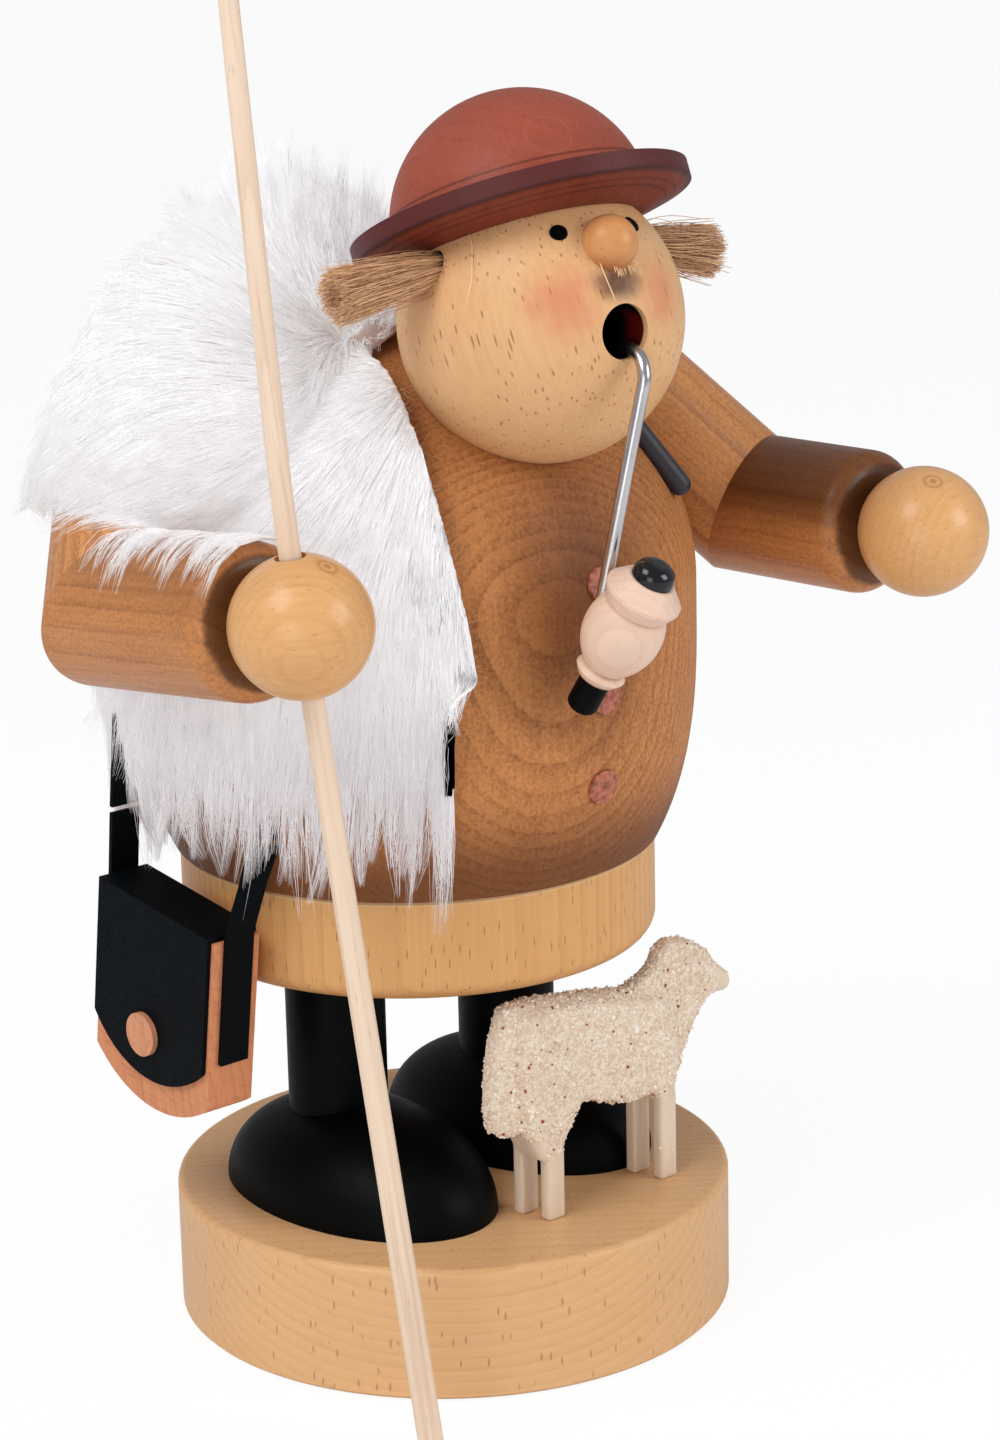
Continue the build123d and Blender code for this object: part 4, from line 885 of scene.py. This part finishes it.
leather = Finish("black_leather")
leather_here = leather.place()
leather_cells = leather.cells(leather_here, 2400.0)
leather_cloud = leather.noise(leather_here, 160.0, 3.0, 0.55)
leather_fine = leather.noise(leather_here, 3200.0)
leather.surface(
    Base_Color=leather.mix(leather_cloud, tone(1, 5, 9), tone(3, 8, 12)),
    Roughness=0.5 + leather_cells * 0.25,
    Normal=leather.bump(leather_cells * 0.7 + leather_fine * 0.3, 0.00006, 0.8),
    Specular_IOR_Level=0.08,
)

LEATHER_EASE = 0.00014
FLAT_ENOUGH, SHARP_ENOUGH = 0.02, 0.7


def merged(node):
    """A solid's loose triangles as one closed bmesh."""
    bm = bmesh.new()
    bm.from_mesh(nodes[node].data)
    bmesh.ops.remove_doubles(bm, verts=bm.verts, dist=0.00001)
    return bm


def leather_from(name, node, body):
    """A leather piece cut to the solid's shape, with its edges eased."""
    bm = merged(node)
    flat = [e for e in bm.edges if len(e.link_faces) == 2 and e.calc_face_angle(0) < FLAT_ENOUGH]
    bmesh.ops.dissolve_edges(bm, edges=flat, use_verts=False)
    hard = [e for e in bm.edges if len(e.link_faces) == 2 and e.calc_face_angle(0) > SHARP_ENOUGH]
    bmesh.ops.bevel(
        bm, geom=hard, offset=LEATHER_EASE, offset_type="OFFSET", segments=2, profile=0.5,
        affect="EDGES", material=-1, clamp_overlap=True,
    )
    bmesh.ops.triangulate(bm, faces=bm.faces)
    piece = finished(name, bm, leather.material, body)
    weigh = piece.modifiers.new("faces", "WEIGHTED_NORMAL")
    weigh.keep_sharp = False
    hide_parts(node)
    return piece


flap = leather_from("flap_leather", "bag_flap", "bag")
leather_from("bag_strap_leather", "bag_straps", "bag")
straps = leather_from("shoulder_strap_leather", "shoulder_straps", "figure")

# The front strap is turned a little round the body, to lie under the fur.
STRAP_TURN, STRAP_FRONT, BODY_BACK = radians(-12.5), -0.012, Vector((0, 0.0067, 0))
tuck = Matrix.Translation(BODY_BACK) @ Matrix.Rotation(STRAP_TURN, 4, "Z") @ Matrix.Translation(-BODY_BACK)
for vert in straps.data.vertices:
    if vert.co.y < STRAP_FRONT:
        vert.co = tuck @ vert.co

# Sheep
# Carved from thin pale wood, glued to the base. Body and tail were brushed with glue and
# rolled in coarse pale grit; the legs and most of the face are left bare.

SHEEP_LOW, SHEEP_TALL, SHEEP_REAR, SHEEP_LONG = 0.0214, 0.0392, -0.0155, 0.0519
COAT_FROM, COAT_SWELL = 0.36, 0.0001
GRIT_SCALE = 2100.0

coat = Finish("sheep_coat")
coat_here = coat.place()
coat_x, _, coat_z = coat.parts(coat_here)
coat_up = (coat_z - SHEEP_LOW) / SHEEP_TALL
coat_on = (coat_x - SHEEP_REAR) / SHEEP_LONG
coat_rag = coat.noise(coat_here, 600.0)
legs_bare = coat.fade(coat_up + (coat_rag - 0.5) * 0.06, 0.34, 0.37)
thigh = coat.band(coat_on, 0.16, 0.19, 0.27, 0.30) * coat.step(coat_up, 0.25, 0.28)
face = coat.step(coat_on, 0.91, 0.95)
bare = coat.node("ShaderNodeClamp", None, {0: legs_bare * (1 - thigh) + face * 0.85})
grit = coat.cells(coat_here, GRIT_SCALE)
grit_tint = coat.parts(Sum(coat, grit.socket.node.outputs["Color"]))[0]
patch = coat.noise(coat_here, 110.0, 3.0, 0.6)
wool = coat.mix(grit_tint, tone(222, 194, 166), tone(246, 232, 212))
wool = coat.mix(coat.step(patch, 0.48, 0.72) * 0.35, wool, tone(222, 186, 160))
dust = coat.step(coat_up + (patch - 0.5) * 0.22, 0.80, 0.96)
dust = dust * coat.step(coat_on, 0.40, 0.62, 1.0, 0.25)
wool = coat.mix(dust * 0.25, wool, tone(170, 146, 128))
stick = coat.noise(coat.stretch(coat_here, (1, 1, 0.08)), 1300.0)
wood = coat.mix(stick, tone(214, 190, 164), tone(238, 220, 198))
coat.surface(
    Base_Color=coat.mix(bare, wool, wood),
    Roughness=0.72 - bare * 0.15,
    Normal=coat.bump((1 - grit) * (1 - bare) + stick * bare * 0.3, 0.00028, 0.9),
)


def evened(mesh, voxel):
    """A mesh's shape with its surface in even small faces, as a bmesh."""
    draft = placed("draft", mesh)
    even = draft.modifiers.new("even", "REMESH")
    even.mode, even.voxel_size = "VOXEL", voxel
    bpy.context.view_layer.update()
    made = bpy.data.meshes.new_from_object(draft.evaluated_get(bpy.context.evaluated_depsgraph_get()))
    bpy.data.objects.remove(draft)
    bm = bmesh.new()
    bm.from_mesh(made)
    return bm


def smoothed(bm, verts, factor, upright=True):
    bmesh.ops.smooth_vert(
        bm, verts=verts, factor=factor, use_axis_x=True, use_axis_y=True, use_axis_z=upright
    )


bm = evened(nodes["sheep"].data.copy(), 0.00045)
coat_foot = SHEEP_LOW + COAT_FROM * SHEEP_TALL
for _ in range(7):
    smoothed(bm, [v for v in bm.verts if v.co.z > coat_foot], 0.5)
bm.normal_update()
for vert in bm.verts:
    if vert.co.z > coat_foot:
        vert.co += vert.normal * COAT_SWELL
smoothed(bm, bm.verts, 0.3, upright=False)
sheep = finished("sheep_carving", bm, coat.material, "stand")
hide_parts("sheep")

grain = Finish("coat_grit")
grain_shade = grain.shade()
grain_here = grain.noise(grain.place(), 3000.0)
grain_tint = grain.mix(grain_shade + (grain_here - 0.5) * 0.2, tone(224, 196, 166), tone(252, 244, 230))
grain.surface(
    Base_Color=grain.mix(grain.step(grain_shade, 1.5, 1.6), grain_tint, tone(150, 64, 44)),
    Roughness=0.35 + grain_here * 0.3,
)


def surface_spots(vertices, faces, count, keep):
    """Random points on a mesh, as even as keep lets them be: (points, normals)."""
    a, b, c = (vertices[faces[:, k]] for k in range(3))
    cross = np.cross(b - a, c - a)
    area = np.linalg.norm(cross, axis=1)
    weight = area / 2 * keep((a + b + c) / 3, cross / (area[:, None] + 1e-18))
    pick = chance.choice(len(faces), count, p=weight / weight.sum())
    u, v = chance.uniform(0, 1, (2, count))
    over = u + v > 1
    u[over], v[over] = 1 - u[over], 1 - v[over]
    spots = a[pick] + (b - a)[pick] * u[:, None] + (c - a)[pick] * v[:, None]
    return spots, cross[pick] / (area[pick][:, None] + 1e-18)


def mesh_arrays(mesh):
    mesh.calc_loop_triangles()
    vertices = np.array([v.co for v in mesh.vertices])
    return vertices, np.array([t.vertices[:] for t in mesh.loop_triangles])


def coated(middles, _):
    """Where grit sticks: on the body and the thigh, and on little of the face and legs."""
    up = (middles[:, 2] - SHEEP_LOW) / SHEEP_TALL
    on = (middles[:, 0] - SHEEP_REAR) / SHEEP_LONG
    body = (up > COAT_FROM) | ((on > 0.17) & (on < 0.29) & (up > 0.27))
    return np.where(body, 1.0, 0.0) * np.where(on > 0.9, 0.12, 1.0) + 0.004


form = bmesh.new()
bmesh.ops.create_icosphere(form, subdivisions=1, radius=1.0)
bmesh.ops.triangulate(form, faces=form.faces)
bead = np.array([v.co for v in form.verts])
bead_faces = np.array([[v.index for v in f.verts] for f in form.faces])
form.free()
GRIT_COUNT, GRIT_SIZE, GRIT_OUT = 4200, 0.19 * MM, 0.05 * MM
spots, facing = surface_spots(*mesh_arrays(sheep.data), GRIT_COUNT, coated)
size = chance.lognormal(0, 0.36, GRIT_COUNT) * GRIT_SIZE
squash = chance.uniform(0.65, 1.25, (GRIT_COUNT, 1, 3))
grains = spots[:, None] + facing[:, None] * GRIT_OUT + bead[None] * size[:, None, None] * squash
grains[..., 2] = np.maximum(grains[..., 2], SHEEP_LOW + 0.00005)
tint = chance.uniform(0, 1, GRIT_COUNT)
groove = np.exp(-(((spots[:, 0] - (SHEEP_REAR + 0.10 * SHEEP_LONG)) / (0.012 * SHEEP_LONG)) ** 2))
groove = groove * (spots[:, 2] < SHEEP_LOW + 0.75 * SHEEP_TALL)
tint = np.where(chance.uniform(0, 1, GRIT_COUNT) < 0.035 + 0.5 * groove, 2.0, tint)
tint = np.repeat(tint[:, None], len(bead), axis=1)
grit_piece = strewn("sheep_grit", grains, bead_faces, tint, grain.material, "stand")

# Fur cape
# A piece of long-haired white pelt over the right shoulder, cut straight down the front. Its
# hair runs out from the neck and hangs below its edge, and a little glow stands in for the
# light that shines through white hair. Low down the hair is painted greyer, as shade.

pelt_skin = plain(
    "pelt_skin", (300.0, 3.0, 0.6), (tone(247, 245, 247), tone(255, 254, 255)), 0.75, 0.15, 0.0001, 0.6
)

fleece = Finish("white_fleece")
fleece_shade = fleece.shade()
fleece_here = fleece.place()
# Painted shade: the hair is greyer low down, and its glow dimmer and browner there.
fleece_low_shade = fleece.fade(fleece.parts(fleece_here)[2], 0.090, 0.118)
fleece_patch = fleece.noise(fleece_here, 200.0)
fleece_tint = fleece_shade + (fleece_patch - 0.5) * 0.15
fleece_white = fleece.mix(fleece_tint, tone(240, 237, 240), tone(255, 255, 255))
fleece.surface(
    Base_Color=fleece.mix(fleece_low_shade * 0.16, fleece_white, tone(222, 212, 214)),
    Roughness=0.6 + fleece_patch * 0.15,
    Specular_IOR_Level=0.2,
    Emission_Color=fleece.mix(fleece_low_shade * 0.5, tone(255, 252, 253), tone(196, 176, 176)),
    Emission_Strength=0.15,
)

# What the hair lies on, in millimetres: a belly that is a superellipse in profile, a dome
# from the shoulder up, the ring below, the right arm, the hand, the staff and the head.
BODY_AXIS, SHOULDER = np.array([0.0, 6.7]), 118.0
BODY_MIDDLE = np.array([0, 6.7, SHOULDER])
BELLY_WIDE, BELLY_AT, BELLY_DROP, BELLY_POWER = 45.25, 111.3, 53.7, 2.57
DOME_TALL, RING_WIDE, RING_TOP, RING_FOOT = 40.0, 38.2, 76.6, 58
DOME_SCALE = np.array([1, 1, BELLY_WIDE / DOME_TALL])
ARM_WIDE, HAND_WIDE, HEAD_WIDE, STAFF_TOP_WIDE, STAFF_WIDE = 11.5, 10.3, 21.5, 1.75, 2.0

elbow, hand = np.array(ELBOWS["right"]) / MM, np.array(HANDS["right"]) / MM
rise, out = (radians(a) for a in ARM_RISE["right"])
upper_way = np.array([sin(out) * cos(rise), cos(out) * cos(rise), sin(rise)])
fore_way = (hand - elbow) / np.linalg.norm(hand - elbow)
staff_foot, staff_way = np.array(STAFF_FOOT) / MM, np.array(STAFF_WAY)
ARM_RODS = [
    (elbow - upper_way * 2, elbow + upper_way * 34, ARM_WIDE),
    (elbow, hand - fore_way * 8, ARM_WIDE),
]
STAFF_RODS = [
    (staff_foot + staff_way * 140, staff_foot + staff_way * 225, STAFF_TOP_WIDE),
    (staff_foot, staff_foot + staff_way * 128, STAFF_WIDE),
]
BALLS = [(hand, HAND_WIDE), (np.array(HEAD) / MM, HEAD_WIDE)]


def ramp(value, low, high):
    """How far value has come from low to high, from 0 to 1."""
    return np.clip((value - low) / (high - low), 0, 1)


def nearest_on(points, one, two):
    run = two - one
    return one + np.clip(((points - one) @ run) / (run @ run), 0, 1)[..., None] * run


def arm_gap(points):
    """How far points are from the forearm's middle line."""
    return np.linalg.norm(points - nearest_on(points, *ARM_RODS[1][:2]), axis=1)


def toward(points, middle, way, low, high):
    """How far round a ball the points lie toward one direction, from 0 to 1."""
    off = points - middle
    return ramp((off @ way) / (np.linalg.norm(off, axis=1) + 1e-9), low, high)


def kept_off(points, near, least):
    """Points moved straight away from the spots nearest to them, until they are least off."""
    off = points - near
    away = np.linalg.norm(off, axis=-1) + 1e-9
    return np.where((away < least)[..., None], near + off * (least / away)[..., None], points)


def pushed_out(points, clear):
    """Points in millimetres moved out of the body, ring, arms, hand, head and staff."""
    p = points.copy()
    rise = points[..., 2]
    drop = np.clip((BELLY_AT - rise) / BELLY_DROP, 0, 0.9)
    radius = BELLY_WIDE * (1 - drop**BELLY_POWER) ** (1 / BELLY_POWER)
    radius = np.where(rise < RING_TOP, RING_WIDE, radius)
    beside = (rise < SHOULDER) & (rise > RING_FOOT)
    p[..., :2] = kept_off(p[..., :2], BODY_AXIS, np.where(beside, radius + clear, 0))
    dome = kept_off((p - BODY_MIDDLE) * DOME_SCALE, 0, np.where(rise < SHOULDER, 0, BELLY_WIDE + clear))
    p = dome / DOME_SCALE + BODY_MIDDLE
    for one, two, radius in ARM_RODS + STAFF_RODS:
        p = kept_off(p, nearest_on(p, one, two), radius + clear)
    for middle, radius in BALLS:
        p = kept_off(p, middle, radius + clear)
    return p


# The skin: the solid's shape, drawn in a little, flattened across the shoulder, pulled out
# along the neck over the dome, and cut straight down the front.
SLOPE_WAY, SLOPE_AT, SLOPE_SHARE = np.array([-0.550, 0.664, 0.509]), 120.2, 0.8
SKIN_IN, FOOT_IN = 0.35, 1.3
COLLAR_HEIGHTS, COLLAR_PULLS, COLLAR_REACH = [143, 149, 158], [0.0, 1.5, 8.5], 53
EDGE_HEIGHTS = [111.5, 113, 119, 125, 131, 137, 143, 149, 152, 155, 158]
EDGE_SIDES = [-28.2, -23.8, -24.9, -25.7, -25.9, -25.3, -23.8, -21.3, -19.4, -16.8, -12.8]
EDGE_BACK = -6
bm = evened(meshed("pelt_draft", merged("fur_cape")), 0.0008)
for _ in range(3):
    smoothed(bm, bm.verts, 0.5)
bm.normal_update()
outer = np.array([v.co for v in bm.verts]) / MM
out_way = np.array([v.normal for v in bm.verts])
from_body = outer - BODY_MIDDLE
facing_out = np.einsum("ij,ij->i", out_way, from_body) / np.linalg.norm(from_body, axis=1)
draw_in = (SKIN_IN + FOOT_IN * (1 - ramp(outer[:, 2], 96, 108))) * ramp(facing_out, -0.1, 0.4)
outer = outer - out_way * draw_in[:, None]
over = np.clip(outer @ SLOPE_WAY - SLOPE_AT, 0, None)
outer = outer - SLOPE_WAY * (over * SLOPE_SHARE)[:, None]
reach = np.linalg.norm((outer - BODY_MIDDLE) * DOME_SCALE, axis=1)
pull = np.interp(outer[:, 2], COLLAR_HEIGHTS, COLLAR_PULLS) * ramp(outer[:, 0], -33, -23)
outer[:, 0] += pull
moved = (outer - BODY_MIDDLE) * DOME_SCALE
back_on = moved * (reach / np.linalg.norm(moved, axis=1))[:, None] / DOME_SCALE + BODY_MIDDLE
outer = np.where(((pull > 0) & (reach < COLLAR_REACH) & (outer[:, 1] < 4))[:, None], back_on, outer)
front_limit = np.interp(outer[:, 2], EDGE_HEIGHTS, EDGE_SIDES)
outer[:, 0] = np.where(outer[:, 1] < EDGE_BACK, np.minimum(outer[:, 0], front_limit), outer[:, 0])
for vert, spot in zip(bm.verts, outer * MM):
    vert.co = spot
smoothed(bm, bm.verts, 0.3)
bmesh.ops.recalc_face_normals(bm, faces=bm.faces)
pelt = finished("pelt_bulk", bm, pelt_skin, "figure")
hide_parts("fur_cape")

pelt_points, pelt_faces = mesh_arrays(pelt.data)
pelt_points = pelt_points / MM
pelt_near = BVHTree.FromPolygons(pelt_points.tolist(), pelt_faces.tolist())
WHORL = np.array([-12.0, -20.0, 152.0])
NECK, CREST_WAY = np.array([-24.0, 17.0, 157.0]), np.array([0.549, -0.25, 0.798])
ARM_TOP, DROOP_WAY = np.array([-38.0, 15.0, 150.0]), np.array([-0.72, 0.48, -0.50])
STATIONS = 5
ARM_ROOM, FOOT_LINE, CUT_LINE = 1.6, 99.5, -27.5


def hair_side(middles, ways):
    """Where hair grows: not against the body, inside the arm's room, or on the cut edges."""
    away = middles - BODY_MIDDLE
    share = np.einsum("ij,ij->i", ways, away) / (np.linalg.norm(away, axis=1) + 1e-9)
    keep = share > 0.0
    for one, two, radius in ARM_RODS:
        off = middles - nearest_on(middles, one, two)
        gap = np.linalg.norm(off, axis=1)
        keep &= ~((gap < radius + ARM_ROOM) & (np.einsum("ij,ij->i", ways, -off) / gap > 0.5))
    keep &= ~((ways[:, 2] < -0.45) & (middles[:, 2] < FOOT_LINE))
    keep &= ~((ways[:, 0] > 0.55) & (middles[:, 1] < -8) & (middles[:, 0] > CUT_LINE))
    return keep * (1.0 + 0.7 * toward(middles, NECK, CREST_WAY, 0.4, 0.8))


def flow(points, ways):
    """Which way the hair runs at each root, along the skin, and how much it stands up."""
    crest = toward(points, NECK, CREST_WAY, 0.45, 0.85)
    low = ramp(points[:, 2], 138, 118)
    side = ramp(points[:, 0], -48, -56) * (1 - crest)
    arm = ramp(arm_gap(points), 17, 14)
    edge = ramp(points[:, 0], -34, -24) * (points[:, 1] < 0) * (1 - crest)
    run = unit(points - WHORL)
    for share, pull in (
        (crest, (0.25, -0.05, 1.2)), (low, (0.0, 0.0, -1.5)), (side, (-0.1, 0.0, -0.5)),
        (arm, (-0.25, -0.45, -0.9)), (edge, (0.0, 0.0, -0.9)),
    ):
        run = run + share[:, None] * np.array(pull)
    run -= ways * (np.einsum("ij,ij->i", run, ways) * (1 - 0.9 * crest))[:, None]
    return unit(run), 0.12 + 0.6 * crest


def laid_down(paths, roots, highest):
    """Hair pressed to the skin: no higher above it than highest, growing along each strand."""
    hold = ramp(arm_gap(roots), 16, 20) * ramp(roots[:, 2], 104, 112)
    stations = paths.shape[1]
    for k in range(1, stations):
        limit = 0.25 + highest * (k / (stations - 1)) ** 1.3
        for i in np.nonzero(hold > 0)[0]:
            spot = Vector(paths[i, k])
            near, way, _, _ = pelt_near.find_nearest(spot)
            wanted = min(max((spot - near).dot(way), 0.08), limit[i])
            paths[i, k] = spot.lerp(near + way * wanted, hold[i])
    return paths


def fleece_lines(roots, ways, length, mess):
    """Strands that set off along the flow, lift a little and bend down under their weight."""
    run, stand = flow(roots, ways)
    run = run + chance.normal(0, mess, run.shape)
    lift = stand + np.abs(chance.normal(0, 0.07, len(roots)))
    share = np.linspace(0, 1, STATIONS)[None, :, None]
    bend = chance.normal(0, 0.07, (len(roots), 1, 3))
    return roots[:, None] + length[:, None, None] * (
        share * (run[:, None] + lift[:, None, None] * ways[:, None] * (1 - 0.45 * share))
        + share**2 * (bend - np.array([0, 0, 0.10]))
    )


# A few thousand guide hairs are laid first, and the rest gather toward them in locks.
many = 52000
GUIDES = 3000
guides, guide_ways = surface_spots(pelt_points, pelt_faces, GUIDES, hair_side)
crest = toward(guides, NECK, CREST_WAY, 0.45, 0.85)
top = ramp(guides[:, 2], 165, 173)
droop = toward(guides, ARM_TOP, DROOP_WAY, 0.5, 0.9)
low = ramp(guides[:, 2], 112, 102)
edge = ramp(guides[:, 0], -36, -24) * (guides[:, 1] < 0) * (1 - low) * (1 - crest)
arm = ramp(arm_gap(guides), 17, 14)
guide_long = 11.0 + 4.0 * low + 2.0 * droop - 3.0 * edge + 4.5 * arm
guide_long = guide_long * chance.uniform(0.72, 1.22, GUIDES)
guide_high = 1.1 + 1.9 * chance.uniform(0, 1, GUIDES) ** 3
guide_high = guide_high * (1 + 1.0 * top + 1.2 * droop + 3.4 * crest)
guide_lines = laid_down(fleece_lines(guides, guide_ways, guide_long, 0.10), guides, guide_high)
tree = KDTree(GUIDES)
for index, spot in enumerate(guides):
    tree.insert(spot, index)
tree.balance()

roots, ways = surface_spots(pelt_points, pelt_faces, many, hair_side)
owner = np.array([tree.find(spot)[1] for spot in roots])
long = guide_long[owner] * chance.uniform(0.80, 1.05, many)
paths = fleece_lines(roots, ways, long, 0.06)
share = np.linspace(0, 1, STATIONS)[None, :, None]
gather = (0.45 + 0.40 * np.maximum(low, arm)[owner] + 0.15 * crest[owner])[:, None, None]
paths = paths + (guide_lines[owner] - paths) * gather * share**1.7
paths = laid_down(paths, roots, guide_high[owner] * chance.uniform(0.5, 1.1, many))
stray = chance.uniform(0, 1, many) < 0.010
stray_roots, stretch = roots[stray][:, None], chance.uniform(1.1, 1.35, (stray.sum(), 1, 1))
paths[stray] = stray_roots + (paths[stray] - stray_roots) * stretch

# Hair stops at the cut edge, is held in round the foot, and stays out of everything else.
HAIR_WIDE = 48.6
front = (roots[:, 1] < -5) & (roots[:, 0] > -42)
limit = np.interp(paths[..., 2], EDGE_HEIGHTS, EDGE_SIDES) - 0.1 + chance.normal(0, 0.1, (many, 1))
limit = limit + ramp(paths[..., 2], 111.5, 105.5) * (1.1 + chance.normal(0, 0.7, (many, 1)))
at_edge = front[:, None] & (paths[..., 1] < EDGE_BACK)
paths[..., 0] = np.where(at_edge, np.minimum(paths[..., 0], limit), paths[..., 0])
flat = paths[..., :2] - BODY_AXIS
wide = np.linalg.norm(flat, axis=2)
most_wide = HAIR_WIDE + np.abs(chance.normal(0, 0.7, (many, 1))) - 0.07 * np.clip(96 - paths[..., 2], 0, 30)
at_foot = (roots[:, 2] < 112)[:, None] & (paths[..., 2] < 108)
paths[..., :2] = BODY_AXIS + flat * np.where(at_foot, np.minimum(1, most_wide / wide), 1)[..., None]
paths[:, 1:] = pushed_out(paths[:, 1:], 0.25)
thick = chance.uniform(0.045, 0.085, many) * MM
shades = chance.uniform(0.3, 1.0, many) * (0.8 + 0.2 * chance.uniform(0, 1, GUIDES)[owner])
order = np.argsort(roots[:, 2])
hair_pieces = grow("fleece", paths[order] * MM, thick[order], shades[order], fleece.material, "figure")

# Longer locks hang from the cape's edge over the forearm.
LOCKS, LOCK_HAIRS, LOCK_PLACES, LOCK_TURNS = 34, 16, (2.5, 37.0), (26, 66)
over_arm = np.array([0, 0, 1.0]) - fore_way * fore_way[2]
over_arm /= np.linalg.norm(over_arm)
out_of_arm = np.cross(fore_way, over_arm)
lock_at = chance.uniform(*LOCK_PLACES, (LOCKS, 1))
lock_end = np.radians(chance.uniform(*LOCK_TURNS, (LOCKS, 1)))
share = np.linspace(0, 1, STATIONS)
hair_at = lock_at + chance.normal(0, 1.5, (LOCKS, LOCK_HAIRS))
hair_on = hair_at[..., None] * (1 - 0.85 * share) + lock_at[..., None] * 0.85 * share
hair_on = hair_on + chance.uniform(0.5, 4.0, (LOCKS, 1, 1)) * share**1.4
hair_start = np.radians(-16 + chance.normal(0, 5, (LOCKS, LOCK_HAIRS)))
hair_end = lock_end * chance.uniform(0.78, 1.04, (LOCKS, LOCK_HAIRS))
hair_turn = hair_start[..., None] + (hair_end - hair_start)[..., None] * share
hair_out = ARM_WIDE + 0.4 + np.abs(chance.normal(0, 0.5, (LOCKS, LOCK_HAIRS, 1))) * np.sin(share * pi * 0.8)
locks = elbow + hair_on[..., None] * fore_way + hair_out[..., None] * (
    np.cos(hair_turn)[..., None] * over_arm + np.sin(hair_turn)[..., None] * out_of_arm
)
locks = locks.reshape(-1, STATIONS, 3)
thick = chance.uniform(0.045, 0.08, len(locks)) * MM
shades = chance.uniform(0.4, 1.0, len(locks))
hair_pieces += grow("arm_locks", locks * MM, thick, shades, fleece.material, "figure")

# The skin's cut front edge sheds short fuzz over the coat.
FUZZ, FUZZ_LONG, FUZZ_LONGEST = 420, 1.3, 2.6
edge_points = np.array(
    [(-17.6, -13.5, 153.5), (-23.6, -24.2, 142.0), (-25.2, -31.0, 130.2), (-23.2, -35.2, 113.5)]
)
place = chance.uniform(0, 1, FUZZ) * 3
first = np.minimum(place.astype(int), 2)
fuzz_roots = edge_points[first] + (edge_points[first + 1] - edge_points[first]) * (place - first)[:, None]
fuzz_way = np.stack(
    [chance.uniform(0.3, 1.0, FUZZ), chance.normal(-0.25, 0.3, FUZZ), chance.normal(-0.2, 0.7, FUZZ)], 1
)
fuzz_long = np.minimum(chance.lognormal(0, 0.45, FUZZ) * FUZZ_LONG, FUZZ_LONGEST)
share = np.linspace(0, 1, 4)[None, :, None]
fuzz_bend = chance.normal(0, 0.35, (FUZZ, 1, 3))
fuzz = fuzz_roots[:, None] + fuzz_long[:, None, None] * (share * fuzz_way[:, None] + share**2 * fuzz_bend)
thick = chance.uniform(0.03, 0.05, FUZZ) * MM
shades = chance.uniform(0.2, 0.9, FUZZ)
fuzz = pushed_out(fuzz, 0.12) * MM
hair_pieces += grow("edge_fuzz", fuzz, thick, shades, flax.material, "figure", point=0.4)
